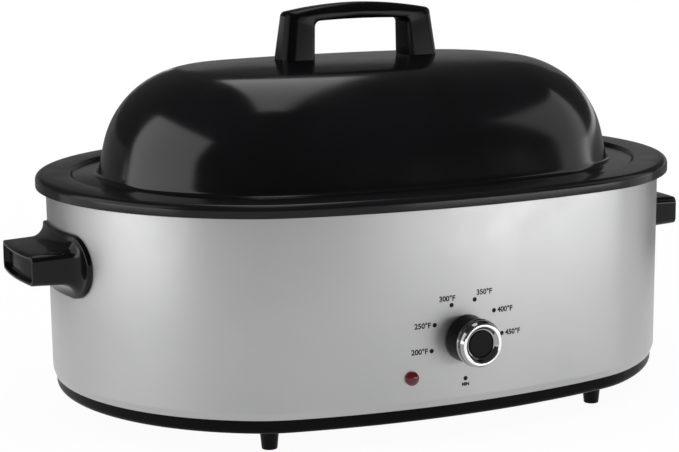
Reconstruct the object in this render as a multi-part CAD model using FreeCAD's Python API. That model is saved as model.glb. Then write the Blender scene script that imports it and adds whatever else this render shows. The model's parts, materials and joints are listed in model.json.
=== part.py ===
"""Electric roaster oven: oval housing, heating well, lift-out cookwell and rack, domed lift-off lid.

Millimetres, +Z up, feet on Z = 0, control knob towards -Y, side handles at -X and +X.
An inset is a distance inwards from the plan oval of the cookwell's rim.
"""
import FreeCAD, Part
import math
import os

V = FreeCAD.Vector
X_AXIS = V(1, 0, 0)
Y_AXIS = V(0, 1, 0)
Z_AXIS = V(0, 0, 1)
HERE = V(0, 0, 0)

# ---- clearances ----
SEAT_GAP = 0.3          # under a piece that lifts off
TOUCH_GAP = 0.15        # between a moulding and the curved wall it sits on
FIT_GAP = 0.06          # round a shaft in its bearing, on the radius
HOLE_GAP = 0.25         # round a screw in its hole, on the radius
TIGHT_GAP = 0.05        # round a thread, under a screw head, between pressed pieces
DRILL_REACH = 12.0      # how far a hole's tool runs to each side
FLOOR_MARGIN = 2.0      # from the end of a floor's bend to the plain plate
FULL_ROUND = 0.999      # share of half a width that rounds its end

# ---- plan oval: eight tangent arcs ----
RIM_LENGTH = 524.0
RIM_WIDTH = 389.0
CORNER_RADIUS = 104.0
END_TURN = 61.0         # half the angle that each end arc spans
SIDE_TURN = 77.3        # direction at which the corner arc meets the side arc

# ---- feet and base ----
FOOT_HEIGHT = 17.3
FOOT_TOP_RADIUS = 7.5
FOOT_TIP_RADIUS = 5.8
FOOT_INSET = 38.0
FOOT_TURN = 66.0        # direction of each foot from its corner's centre
FOOT_TIP_BEND = 0.8
FOOT_RECESS_DEPTH = 5.0
BASE_SHEET = 1.5
BASE_WALL = 20.7        # height of the base pan's wall
BASE_CORNER = 5.0
BASE_BAND = 10.9        # part of that wall left in view
VENT_LENGTH = 34.0
VENT_WIDTH = 4.0
VENT_PITCH = 13.0
VENT_COUNT = 7
VENT_ROW = 62.0         # centre of each row of vents from the middle

# ---- housing ----
HOUSING_SHEET = 0.8
HOUSING_TOP_INSET = 8.0
HOUSING_LOW_INSET = 9.1
HOUSING_HEIGHT = 153.0
HOUSING_ROLL = 5.0      # height of the rolled lower edge
HOUSING_ROLL_DEPTH = 1.7
HOUSING_ROLL_BEND = 7.0
HOUSING_FLANGE = 15.0
HOUSING_BEND = 2.4

# ---- inner liner and what heats it ----
LINER_SHEET = 0.8
LINER_INSET = 36.0
LINER_DRAFT = 3.0
LINER_LIFT = 15.2       # liner's floor above the base pan's floor
LINER_BEND = 3.0
LINER_FLOOR_BEND = 22.0
LINER_FLANGE_EDGE = 9.5
HEATER_THICKNESS = 2.5
HEATER_LOW = 24.0       # height of the band's lower edge above the liner's floor
HEATER_BAND_WIDTH = 58.0
HEATER_SPLIT = 18.0
BLANKET_THICKNESS = 12.0
BLANKET_GAP = 4.8       # above the brackets' shelves
BLANKET_TOP_GAP = 12.0  # below the liner's flange
BLANKET_MARGIN = 8.0    # round the thermostat
BLANKET_WINDOW = 60.0   # behind the studs
SHIELD_SHEET = 0.6
SHIELD_INSET = 52.0
SHIELD_HEIGHT = 6.0
SHIELD_RIM = 4.0
SHIELD_BEND = 1.4
SHIELD_LEAN = 3.0
STUD_PLATE = 1.2
STUD_PLATE_RADIUS = 6.0
STUD_RADIUS = 2.0
STUD_LENGTH = 9.0
STUD_SPACING = 30.0

# ---- cookwell ----
RIM_THICKNESS = 1.2
RIM_HEIGHT = 9.5        # outer face of the rim
RIM_BAND = 27.0         # flat top of the rim
RIM_BEND = 4.5
LEDGE_DEPTH = 3.5
LEDGE_STEP = 1.5
LEDGE_WIDTH = 13.5
LEDGE_BEND = 1.5
WELL_DRAFT = 5.0
WELL_LIFT = 3.0         # cookwell's floor above the liner's floor
WELL_MOUTH_BEND = 4.0
WELL_FLOOR_BEND = 26.0

# ---- lid ----
LID_SHEET = 1.0
LID_BRIM_PLAY = 0.8
LID_FOOT_INSET = 48.8   # where the wall would meet the brim
LID_FOOT_BEND = 4.0
LID_WALL_HEIGHT = 23.6
LID_WALL_TURN = 12.6    # lean of the wall from upright
LID_SHOULDER_RADIUS = 76.8
LID_SHOULDER_TURN = 82.8
LID_CROWN_RADIUS = 509.0
LID_CROWN_TURN = 88.6
LID_SHOULDER_STEPS = 5
LID_CROWN_STEPS = 3

# ---- lid handle ----
LID_HANDLE_LENGTH = 136.4
LID_HANDLE_TAPER = 4.4
LID_HANDLE_HEIGHT = 42.7
LID_HANDLE_CROWN = 5.0
LID_HANDLE_CORNER = 4.5
LID_HANDLE_WINDOW = 84.0
LID_HANDLE_BAR = 11.5
LID_WINDOW_CORNER = 5.0
LID_HANDLE_FOOT_DEPTH = 30.0
LID_HANDLE_BAR_DEPTH = 24.0
LID_HANDLE_EDGE = 3.4
LID_WINDOW_TAPER = 1.5
LID_SCREW_RADIUS = 2.5
LID_SCREW_LENGTH = 16.0
LID_SCREW_HEAD_RADIUS = 4.8
LID_SCREW_HEAD_HEIGHT = 2.8
LID_WASHER_RADIUS = 7.0
WASHER_THICKNESS = 1.2

# ---- side handles ----
HANDLE_REACH = 35.0
HANDLE_WIDTH = 84.0
HANDLE_THICKNESS = 24.6
HANDLE_CORNER = 5.0
HANDLE_TAPER = 0.8
HANDLE_DROP = 52.9      # grip's centre below the housing's top
HANDLE_BOW_RADIUS = 245.0  # of the grip's outer end, seen from above
FLANGE_WIDTH = 115.0
FLANGE_HEIGHT = 48.8
FLANGE_THICKNESS = 3.4
FLANGE_ROUND = 0.96     # corner of the flange as a share of half its height
FLANGE_FILLET = 10.2    # between the flange and the grip
FLANGE_EDGE = 1.2
RECESS_DEPTH = 4.5      # of the dish in the grip's end, level with the bow
RECESS_WALL = 2.8
RECESS_TAPER = 0.5
RECESS_CORNER = 3.2
HANDLE_SCREW_SPACING = 44.0
HANDLE_SCREW_RADIUS = 2.5
HANDLE_SCREW_LENGTH = 17.0
HANDLE_SCREW_HEAD = 4.6
HANDLE_SCREW_HEAD_HEIGHT = 2.6
HANDLE_WASHER_RADIUS = 7.5

# ---- thermostat, knob and indicator ----
DIAL_RISE = 49.8        # dial's centre above the housing's lower edge
KNOB_RADIUS = 17.8
KNOB_TAPER = 0.9
KNOB_REACH = 25.4       # crest of the ring ahead of the housing
KNOB_WALL = 2.2
KNOB_STANDOFF = 1.0
KNOB_RING_DEPTH = 8.6
KNOB_CREST_RADIUS = 14.7
KNOB_CREST_HALF = 1.3
KNOB_CREST_BEND = 1.2
KNOB_RING_SIDE = 3.4    # upright part of the ring's outer face
KNOB_RING_PROUD = 0.2
KNOB_RING_LIP = 0.7
KNOB_CAP_RADIUS = 9.6
KNOB_CAP_RECESS = 3.2
KNOB_CAP_THICKNESS = 1.6
KNOB_NECK_GAP = 0.8
KNOB_NECK_WALL = 1.5
KNOB_HUB_RADIUS = 5.6
KNOB_HUB_RECESS = 4.5   # hub's end inside the skirt
KNOB_EDGE = 0.8
SOCKET_END_GAP = 0.4
KNOB_REST_TURN = 78.0   # pointer's direction at rest, anticlockwise from +X
POINTER_WIDTH = 1.2
POINTER_DEPTH = 0.6
POINTER_MARGIN = 4.0
SHAFT_RADIUS = 3.0
SHAFT_FLAT = 0.9
SHAFT_FLAT_LENGTH = 11.0
SHAFT_STOP = 2.0        # from the disc's back to the shaft's tip
BUSHING_RADIUS = 4.6
BUSHING_REACH = 3.0
THERMOSTAT_WIDTH = 40.0
THERMOSTAT_HEIGHT = 34.0
THERMOSTAT_DEPTH = 15.0
THERMOSTAT_PLATE = 2.0
THERMOSTAT_LIP = 3.0    # plate beyond the switch housing
THERMOSTAT_BORE = 10.5
THERMOSTAT_PLATE_GAP = 0.6
THERMOSTAT_CORNER = 4.0
THERMOSTAT_SCREW_SPACING = 22.0
THERMOSTAT_SCREW_LENGTH = 7.0
SMALL_SCREW_RADIUS = 1.75
SMALL_SCREW_HEAD = 3.2
SMALL_SCREW_HEAD_HEIGHT = 1.8
BULB_RADIUS = 2.5
BULB_LENGTH = 70.0
BULB_OFFSET = 12.0
BULB_REAR = 160.0       # rear end of the bulb from the oval's front
BULB_BEND = 1.5
CLIP_SHEET = 0.6
CLIP_WIDTH = 8.0
CLIP_TAB = 6.0
CLIP_GAP = 0.1
CAPILLARY_RADIUS = 0.8
CAPILLARY_BEND = 12.0
CAPILLARY_SOCKET = 5.0
LENS_X = -44.5
LENS_DROP = 26.0        # lens's centre below the dial's
LENS_RADIUS = 5.2
LENS_BEZEL = 1.6
LENS_DOME = 2.4
LENS_CROWN_RADIUS = 2.3
LENS_CROWN_BEND = 4.0
LENS_EDGE = 0.8
LENS_NECK_RADIUS = 3.9
LENS_NECK = 12.0
LAMP_RADIUS = 2.2
LAMP_LENGTH = 13.0
LAMP_GAP = 0.3
LAMP_TIP_BEND = 1.2
LAMP_CLIP_WIDTH = 3.0

# ---- supply entry ----
GLAND_RISE = 27.8       # above the housing's lower edge
GLAND_FLANGE_RADIUS = 10.0
GLAND_NECK_RADIUS = 6.5
GLAND_BORE_RADIUS = 3.6
GLAND_FLANGE = 2.5
GLAND_EDGE = 1.0
GLAND_SHOULDER = 0.7
GLAND_NOSE = 9.0
GLAND_NOSE_WALL = 1.6
GLAND_INSIDE = 8.0
BLOCK_LENGTH = 40.0
BLOCK_DEPTH = 9.0
BLOCK_HEIGHT = 16.0
BLOCK_GAP = 0.4
BLOCK_OFFSET = 22.0
BLOCK_WAYS = 3
LEAD_RADIUS = 1.3
LEAD_DEPTH = 4.0        # length held in the block
LEAD_BEND = 4.0
LEAD_STEP = 9.0         # second lead above the first

# ---- rack ----
RACK_WIRE = 2.2         # radius of the frame's wire
RACK_ROD = 1.5          # radius of the cross rods
RACK_INSET = 64.0
RACK_LEVEL = 16.0       # frame above the cookwell's floor
RACK_PITCH = 23.0
RACK_LEG_LEAN = 14.0    # how far in the legs reach from the frame
RACK_LEG_WIDTH = 34.0
RACK_LEG_X = 118.0
RACK_LEG_BEND = 5.0
RACK_HANDLE_WIDTH = 66.0
RACK_HANDLE_HEIGHT = 30.0
RACK_HANDLE_TAPER = 5.0
RACK_HANDLE_LEAN = 13.0
RACK_HANDLE_SET = 1.5
RACK_BEND = 8.0
ROD_GAP = 0.1
ROD_OVERHANG = 1.3

# ---- screw heads ----
SCREW_HEAD_ROUND = 0.6  # rounding of a head as a share of its height
SCREW_SLOT_REACH = 0.55  # half the slot's length as a share of the head's radius
SCREW_SLOT_WIDTH = 0.6
SCREW_SLOT_DEPTH = 0.5  # share of the head's height

# ---- screws under the feet ----
FOOT_SCREW_RADIUS = 2.0
FOOT_SCREW_HEAD = 3.6
FOOT_SCREW_HEAD_HEIGHT = 2.4
NUT_RADIUS = 4.0
NUT_HEIGHT = 3.0
SCREW_END = 1.0         # end of a foot screw past its nut
BRACKET_SHEET = 1.2
BRACKET_TURN = 9.0      # how much of the corner each bracket spans
BRACKET_LEG = 18.0
BRACKET_FOOT = 15.0
BRACKET_RISE = 2.0      # shelf above the base pan's wall
BRACKET_BEND = 0.5

# ---- levels and insets that follow from the sizes above ----
BASE_INSET = HOUSING_LOW_INSET + HOUSING_ROLL_DEPTH + HOUSING_SHEET + SEAT_GAP
BASE_FLOOR_TOP = FOOT_HEIGHT + BASE_SHEET
HOUSING_LOW = FOOT_HEIGHT + BASE_BAND
HOUSING_TOP = HOUSING_LOW + HOUSING_HEIGHT
LINER_TOP = HOUSING_TOP + LINER_SHEET
LINER_FLOOR = BASE_FLOOR_TOP + LINER_LIFT
LINER_DEPTH = LINER_TOP - LINER_FLOOR
LEDGE_TOP = LINER_TOP + SEAT_GAP + RIM_THICKNESS
RIM_TOP = LEDGE_TOP + LEDGE_DEPTH
RIM_LOW = RIM_TOP - RIM_HEIGHT
WELL_FLOOR = LINER_FLOOR + WELL_LIFT
LEDGE_START = RIM_BAND + LEDGE_STEP
WELL_INSET = LEDGE_START + LEDGE_WIDTH
LID_BRIM_LOW = LEDGE_TOP + SEAT_GAP
LID_BRIM_TOP = LID_BRIM_LOW + LID_SHEET
BRACKET_SHELF = FOOT_HEIGHT + BASE_WALL + BRACKET_RISE
DIAL_LEVEL = HOUSING_LOW + DIAL_RISE
LENS_LEVEL = DIAL_LEVEL - LENS_DROP
GLAND_LEVEL = HOUSING_LOW + GLAND_RISE
HANDLE_LEVEL = HOUSING_TOP - HANDLE_DROP
HALF_LENGTH = RIM_LENGTH / 2
HALF_WIDTH = RIM_WIDTH / 2
BASE_FLAT = BASE_INSET + BASE_CORNER + FLOOR_MARGIN
LINER_FLAT = LINER_INSET + LINER_DRAFT + LINER_FLOOR_BEND + FLOOR_MARGIN
SHIELD_FLAT = SHIELD_INSET + SHIELD_RIM + SHIELD_LEAN + 2 * SHIELD_BEND + FLOOR_MARGIN
WELL_FLAT = WELL_INSET + WELL_DRAFT + WELL_FLOOR_BEND + FLOOR_MARGIN


# ---------------------------------------------------------------- helpers

def fuse(shapes):
    """One shape from several that share faces."""
    whole = shapes[0].multiFuse(shapes[1:]) if len(shapes) > 1 else shapes[0]
    return whole.removeSplitter()


def cut(shape, tools):
    """The shape less every tool."""
    return shape.cut(list(tools)).removeSplitter()


def rod(start, end, radius):
    """Cylinder from one point to another."""
    return Part.makeCylinder(radius, (end - start).Length, start, end - start)


def rounded_edges(corners, closed):
    """Straight runs joined by tangent arcs, through corners given as (point, radius)."""
    count = len(corners)
    spans = []
    for index, (point, radius) in enumerate(corners):
        open_end = not closed and index in (0, count - 1)
        if radius <= 0 or open_end:
            spans.append((point, None, point))
            continue
        back = (corners[index - 1][0] - point).normalize()
        ahead = (corners[(index + 1) % count][0] - point).normalize()
        half = back.getAngle(ahead) / 2
        reach = radius / math.tan(half)
        middle = (back + ahead).normalize() * (radius / math.sin(half) - radius)
        spans.append((point + back * reach, point + middle, point + ahead * reach))
    edges = []
    for index, (enter, middle, leave) in enumerate(spans):
        if middle is not None:
            edges.append(Part.Arc(enter, middle, leave).toShape())
        if index == count - 1 and not closed:
            break
        following = spans[(index + 1) % count][0]
        if (following - leave).Length > 1e-6:
            edges.append(Part.makeLine(leave, following))
    return edges


def rounded_wire(corners, closed=True):
    """The same as one wire."""
    return Part.Wire(rounded_edges(corners, closed))


def profile_face(corners):
    """Flat face from (inset, level, radius) corners, drawn in the XZ plane with the inset towards -X."""
    points = [(V(-inset, 0, level), radius) for inset, level, radius in corners]
    return Part.Face(rounded_wire(points))


def offset_path(path, distance):
    """The path of (inset, level, radius) corners moved to its right-hand side."""
    normals = []
    for (ax, ay, _), (bx, by, _) in zip(path[:-1], path[1:]):
        length = math.hypot(bx - ax, by - ay)
        normals.append(((by - ay) / length, -(bx - ax) / length))
    moved = []
    for index, (x, y, radius) in enumerate(path):
        before = normals[max(index - 1, 0)]
        after = normals[min(index, len(normals) - 1)]
        share = distance / (1 + before[0] * after[0] + before[1] * after[1])
        left_turn = before[0] * after[1] - before[1] * after[0]
        new_radius = radius + distance if left_turn > 0 else max(radius - distance, 0)
        moved.append((x + (before[0] + after[0]) * share, y + (before[1] + after[1]) * share, new_radius))
    return moved


def sheet_face(path, thickness):
    """Section of bent sheet: the path is one skin and the other lies to its right."""
    other = offset_path(path, thickness)
    ends = (0, len(path) - 1)
    skin = [(x, y, 0 if i in ends else r) for i, (x, y, r) in enumerate(path)]
    back = [(x, y, 0 if i in ends else r) for i, (x, y, r) in enumerate(other)]
    return profile_face(skin + back[::-1])


def oval_arcs(half_length, half_width, corner):
    """The oval's eight tangent arcs, each as (centre, radius, first angle, last angle)."""
    c1 = math.cos(math.radians(END_TURN))
    s1 = math.sin(math.radians(END_TURN))
    c2 = math.cos(math.radians(SIDE_TURN))
    s2 = math.sin(math.radians(SIDE_TURN))
    along = half_length - corner * (c1 - c2)
    across = half_width - corner * (s2 - s1)
    scale = (1 - c1) * (1 - s2) - c2 * s1
    end = (along * (1 - s2) - c2 * across) / scale
    side = ((1 - c1) * across - s1 * along) / scale
    end_x = half_length - end
    side_y = half_width - side
    corner_x = end_x + (end - corner) * c1
    corner_y = (end - corner) * s1
    return [
        (V(end_x, 0, 0), end, -END_TURN, END_TURN),
        (V(corner_x, corner_y, 0), corner, END_TURN, SIDE_TURN),
        (V(0, side_y, 0), side, SIDE_TURN, 180 - SIDE_TURN),
        (V(-corner_x, corner_y, 0), corner, 180 - SIDE_TURN, 180 - END_TURN),
        (V(-end_x, 0, 0), end, 180 - END_TURN, 180 + END_TURN),
        (V(-corner_x, -corner_y, 0), corner, 180 + END_TURN, 180 + SIDE_TURN),
        (V(0, -side_y, 0), side, 180 + SIDE_TURN, 360 - SIDE_TURN),
        (V(corner_x, -corner_y, 0), corner, 360 - SIDE_TURN, 360 - END_TURN),
    ]


RIM_ARCS = oval_arcs(HALF_LENGTH, HALF_WIDTH, CORNER_RADIUS)
CORNER_CENTRE = RIM_ARCS[1][0]


def arcs_wire(arcs, shrink, level):
    """Closed wire of an oval's arcs, each radius less by the same amount."""
    edges = []
    for centre, radius, first, last in arcs:
        circle = Part.Circle(centre + Z_AXIS * level, Z_AXIS, radius - shrink)
        edges.append(Part.ArcOfCircle(circle, math.radians(first), math.radians(last)).toShape())
    return Part.Wire(edges)


def inset_plate(inset, low, high):
    """Flat plate of the plan oval at an inset, between two levels."""
    return Part.Face(arcs_wire(RIM_ARCS, inset, low)).extrude(Z_AXIS * (high - low))


def swept(face):
    """Carries a profile round the plan oval, arc by arc."""
    pieces = []
    for centre, radius, first, last in RIM_ARCS:
        section = face.copy()
        section.translate(X_AXIS * radius)
        section.rotate(HERE, Z_AXIS, first)
        section.translate(centre)
        pieces.append(section.revolve(centre, Z_AXIS, last - first))
    return fuse(pieces)


def in_corner(inset, turn, level):
    """Point in the corner towards +X +Y, at an inset and a direction from that corner's centre."""
    reach = CORNER_RADIUS - inset
    angle = math.radians(turn)
    return CORNER_CENTRE + V(reach * math.cos(angle), reach * math.sin(angle), level)


def four_ways(point):
    """The point and its mirror images, named by where they are."""
    return {
        "front_left": V(-point.x, -point.y, point.z),
        "front_right": V(point.x, -point.y, point.z),
        "rear_left": V(-point.x, point.y, point.z),
        "rear_right": V(point.x, point.y, point.z),
    }


def half_width_at(inset, x):
    """Half the oval's width at an inset, at a given X."""
    for centre, radius, first, _ in (RIM_ARCS[2], RIM_ARCS[1], RIM_ARCS[0]):
        reach = radius - inset
        if abs(x) <= centre.x + reach * math.cos(math.radians(max(first, 0))):
            return centre.y + math.sqrt(reach ** 2 - (abs(x) - centre.x) ** 2)
    return 0.0


def housing_inset(level):
    """Inset of the housing's outer skin at a level on its wall."""
    low = HOUSING_LOW + HOUSING_ROLL
    share = (level - low) / (HOUSING_TOP - low)
    return HOUSING_LOW_INSET + (HOUSING_TOP_INSET - HOUSING_LOW_INSET) * share


def liner_inset(level):
    """Inset of the liner's inner skin at a level on its wall."""
    return LINER_INSET + LINER_DRAFT * (LINER_TOP - level) / LINER_DEPTH


def turned(corners, base, direction):
    """Solid of revolution from (radius, distance along the axis, bend) corners."""
    points = [(V(radius, 0, along), bend) for radius, along, bend in corners]
    solid = Part.Face(rounded_wire(points)).revolve(HERE, Z_AXIS, 360)
    solid.Placement = FreeCAD.Placement(base, FreeCAD.Rotation(Z_AXIS, direction))
    return solid


def pan_screw(base, direction, head_radius, head_height, radius, length):
    """Pan-head screw: base is under the head and the shank runs along the direction."""
    head = turned([(0, -head_height, 0), (head_radius, -head_height, head_height * SCREW_HEAD_ROUND),
                   (head_radius, 0, 0), (0, 0, 0)], base, direction)
    along = V(direction).normalize()
    shank = rod(base, base + along * length, radius)
    reach = head_radius * SCREW_SLOT_REACH
    slot_floor = -head_height * (1 - SCREW_SLOT_DEPTH)
    slot = Part.makeBox(2 * reach, SCREW_SLOT_WIDTH, head_height,
                        V(-reach, -SCREW_SLOT_WIDTH / 2, slot_floor - head_height))
    slot.Placement = FreeCAD.Placement(base, FreeCAD.Rotation(Z_AXIS, direction))
    return fuse([head, shank]).cut(slot)


def ring_washer(base, direction, outer, inner, thickness):
    """Flat washer standing on base."""
    along = V(direction).normalize() * thickness
    return rod(base, base + along, outer).cut(rod(base, base + along, inner))


def tube(corners, radius):
    """Round wire along straight runs and tangent arcs."""
    path = rounded_wire(corners, closed=False)
    start = corners[0][0]
    circle = Part.makeCircle(radius, start, corners[1][0] - start)
    return path.makePipeShell([Part.Wire(circle)], True, False)


# ---------------------------------------------------------------- feet and base

def foot_place():
    """Foot position in the corner towards +X +Y."""
    return in_corner(FOOT_INSET, FOOT_TURN, 0)


def foot(place):
    """Tapered foot with a recess for its screw's head."""
    body = turned([(0, 0, 0), (FOOT_TIP_RADIUS, 0, FOOT_TIP_BEND), (FOOT_TOP_RADIUS, FOOT_HEIGHT, 0),
                   (0, FOOT_HEIGHT, 0)], place, Z_AXIS)
    recess = rod(place, place + Z_AXIS * FOOT_RECESS_DEPTH, FOOT_SCREW_HEAD + HOLE_GAP)
    hole = rod(place, place + Z_AXIS * FOOT_HEIGHT, FOOT_SCREW_RADIUS + HOLE_GAP)
    return cut(body, [recess, hole])


def foot_screw(place):
    """Screw up through the foot, the base pan and the bracket."""
    base = place + Z_AXIS * FOOT_RECESS_DEPTH
    length = BASE_FLOOR_TOP - FOOT_RECESS_DEPTH + BRACKET_SHEET + NUT_HEIGHT + SCREW_END
    return pan_screw(base, Z_AXIS, FOOT_SCREW_HEAD, FOOT_SCREW_HEAD_HEIGHT, FOOT_SCREW_RADIUS, length)


def foot_nut(place):
    """Hexagon nut on the bracket."""
    base = place + Z_AXIS * (BASE_FLOOR_TOP + BRACKET_SHEET)
    corners = []
    for side in range(6):
        angle = math.radians(60 * side)
        corners.append((base + V(NUT_RADIUS * math.cos(angle), NUT_RADIUS * math.sin(angle), 0), 0))
    nut = Part.Face(rounded_wire(corners)).extrude(Z_AXIS * NUT_HEIGHT)
    return nut.cut(rod(base, base + Z_AXIS * NUT_HEIGHT, FOOT_SCREW_RADIUS + TIGHT_GAP))


def housing_bracket():
    """Z-shaped strip in the corner towards +X +Y, from the housing's wall down to the foot's screw."""
    shelf = BRACKET_SHELF
    wall = housing_inset(shelf) + HOUSING_SHEET + TOUCH_GAP
    outer_foot = FOOT_INSET + BRACKET_FOOT / 2
    riser = FOOT_INSET - BRACKET_FOOT / 2
    outer_bend = BRACKET_BEND + BRACKET_SHEET
    path = [(wall, shelf + BRACKET_LEG, 0), (wall, shelf, outer_bend), (riser, shelf, BRACKET_BEND),
            (riser, BASE_FLOOR_TOP, outer_bend), (outer_foot, BASE_FLOOR_TOP, 0)]
    section = sheet_face(path[::-1], BRACKET_SHEET)
    section.translate(X_AXIS * CORNER_RADIUS)
    section.rotate(HERE, Z_AXIS, FOOT_TURN - BRACKET_TURN / 2)
    section.translate(CORNER_CENTRE)
    strip = section.revolve(CORNER_CENTRE, Z_AXIS, BRACKET_TURN)
    place = foot_place()
    hole = rod(place, place + Z_AXIS * HOUSING_LOW, FOOT_SCREW_RADIUS + HOLE_GAP)
    return cut(strip, [hole])


def mirrored_four(shape):
    """The shape in all four corners."""
    left = shape.mirror(HERE, X_AXIS)
    return [shape, left, shape.mirror(HERE, Y_AXIS), left.mirror(HERE, Y_AXIS)]


def round_slot(centre, length, width, height):
    """Upright solid of a round-ended slot along X."""
    half = length / 2
    wide = width / 2
    corners = []
    for x, y in ((-half, -wide), (half, -wide), (half, wide), (-half, wide)):
        corners.append((centre + V(x, y, 0), wide * FULL_ROUND))
    return Part.Face(rounded_wire(corners)).extrude(Z_AXIS * height)


def vents():
    """Two rows of slots through the base pan's floor."""
    tools = []
    for row in (-VENT_ROW, VENT_ROW):
        for index in range(VENT_COUNT):
            y = (index - (VENT_COUNT - 1) / 2) * VENT_PITCH
            tools.append(round_slot(V(row, y, FOOT_HEIGHT), VENT_LENGTH, VENT_WIDTH, BASE_SHEET))
    return tools


def base_pan():
    """Drawn tray that closes the bottom and carries the feet."""
    top = FOOT_HEIGHT + BASE_WALL
    path = [(BASE_FLAT, FOOT_HEIGHT, 0), (BASE_INSET, FOOT_HEIGHT, BASE_CORNER), (BASE_INSET, top, 0)]
    wall = swept(sheet_face(path, BASE_SHEET))
    floor = inset_plate(BASE_FLAT, FOOT_HEIGHT, BASE_FLOOR_TOP)
    holes = []
    for place in four_ways(foot_place()).values():
        holes.append(rod(place, place + Z_AXIS * HOUSING_LOW, FOOT_SCREW_RADIUS + HOLE_GAP))
    return cut(fuse([wall, floor]), holes + vents())


# ---------------------------------------------------------------- housing

def housing_path():
    """Outer skin of the housing from its rolled lower edge to its top flange."""
    return [(HOUSING_LOW_INSET + HOUSING_ROLL_DEPTH, HOUSING_LOW, 0),
            (HOUSING_LOW_INSET, HOUSING_LOW + HOUSING_ROLL, HOUSING_ROLL_BEND),
            (HOUSING_TOP_INSET, HOUSING_TOP, HOUSING_BEND),
            (HOUSING_TOP_INSET + HOUSING_FLANGE, HOUSING_TOP, 0)]


def front_face(level):
    """Y of the housing's outer skin on the centre line of the front."""
    return -(HALF_WIDTH - housing_inset(level))


def front_at(x, level):
    """Y of the housing's outer skin at the front, off the centre line."""
    return -half_width_at(housing_inset(level), x)


def thermostat_screw_places():
    """Centres of the thermostat's two screws on the housing's front."""
    places = []
    for side in (-1, 1):
        x = side * THERMOSTAT_SCREW_SPACING / 2
        places.append(V(x, front_at(x, DIAL_LEVEL), DIAL_LEVEL))
    return places


def end_reach(inset, y):
    """X of the oval's end at an inset, off the centre line."""
    centre, radius = RIM_ARCS[0][0], RIM_ARCS[0][1] - inset
    return centre.x + math.sqrt(radius ** 2 - y ** 2)


def handle_screw_places():
    """Centres of the right-hand handle's two screws on the housing's outer skin."""
    places = []
    for side in (-1, 1):
        y = side * HANDLE_SCREW_SPACING / 2
        places.append(V(end_reach(housing_inset(HANDLE_LEVEL), y), y, HANDLE_LEVEL))
    return places


def front_normal(x, level):
    """Outward direction of the housing's front at a given X."""
    centre, radius = RIM_ARCS[6][0], RIM_ARCS[6][1] - housing_inset(level)
    return V(x, front_at(x, level) - centre.y, 0) * (1 / radius)


def housing_holes():
    """Cylinders for every hole in the housing's wall."""
    deep = Y_AXIS * DRILL_REACH
    dial = V(0, front_face(DIAL_LEVEL), DIAL_LEVEL)
    out = front_normal(LENS_X, LENS_LEVEL) * DRILL_REACH
    holes = [rod(dial - deep, dial + deep, BUSHING_RADIUS + HOLE_GAP),
             rod(lens_base() - out, lens_base() + out, LENS_NECK_RADIUS + HOLE_GAP),
             rod(gland_base() - deep, gland_base() + deep, GLAND_NECK_RADIUS + HOLE_GAP)]
    for place in thermostat_screw_places():
        holes.append(rod(place - deep, place + deep, SMALL_SCREW_RADIUS + HOLE_GAP))
    for place in handle_screw_places():
        across = X_AXIS * DRILL_REACH
        hole = rod(place - across, place + across, HANDLE_SCREW_RADIUS + HOLE_GAP)
        holes += [hole, hole.mirror(HERE, X_AXIS)]
    return holes


def outer_housing():
    """Painted sheet wrap with a rolled lower edge and a flange at the top."""
    return cut(swept(sheet_face(housing_path(), HOUSING_SHEET)), housing_holes())


# ---------------------------------------------------------------- liner and heater

def inner_liner():
    """Fixed heating well that hangs from the housing's flange."""
    path = [(LINER_FLANGE_EDGE, LINER_TOP, 0), (LINER_INSET, LINER_TOP, LINER_BEND),
            (LINER_INSET + LINER_DRAFT, LINER_FLOOR, LINER_FLOOR_BEND), (LINER_FLAT, LINER_FLOOR, 0)]
    wall = swept(sheet_face(path, LINER_SHEET))
    floor = inset_plate(LINER_FLAT, LINER_FLOOR - LINER_SHEET, LINER_FLOOR)
    return fuse([wall, floor])


def band_face(low, high, gap, thickness):
    """Section of a layer that follows the liner's wall from outside."""
    bottom = liner_inset(low) - LINER_SHEET - gap
    top = liner_inset(high) - LINER_SHEET - gap
    return profile_face([(bottom, low, 0), (top, high, 0), (top - thickness, high, 0),
                         (bottom - thickness, low, 0)])


def heater_levels():
    """Lower and upper edge of the heater band."""
    low = LINER_FLOOR + HEATER_LOW
    return low, low + HEATER_BAND_WIDTH


def heater_band():
    """Element wrapped round the liner, split at the back."""
    low, high = heater_levels()
    band = swept(band_face(low, high, TOUCH_GAP, HEATER_THICKNESS))
    split = Part.makeBox(HEATER_SPLIT, HALF_WIDTH, high - low, V(-HEATER_SPLIT / 2, 0, low))
    return cut(band, [split])


def stud_bases():
    """Centres of the studs' plates on the band, left one first."""
    low, high = heater_levels()
    level = (low + high) / 2
    bases = []
    for side in (-1, 1):
        x = side * STUD_SPACING / 2
        skin = half_width_at(liner_inset(level) - LINER_SHEET - TOUCH_GAP - HEATER_THICKNESS, x)
        bases.append(V(x, skin + SEAT_GAP, level))
    return bases


def heater_terminals():
    """Studs on the band, one each side of its split."""
    studs = []
    for base in stud_bases():
        plate = rod(base, base + Y_AXIS * STUD_PLATE, STUD_PLATE_RADIUS)
        studs.append(fuse([plate, rod(base, base + Y_AXIS * STUD_LENGTH, STUD_RADIUS)]))
    return studs


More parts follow.
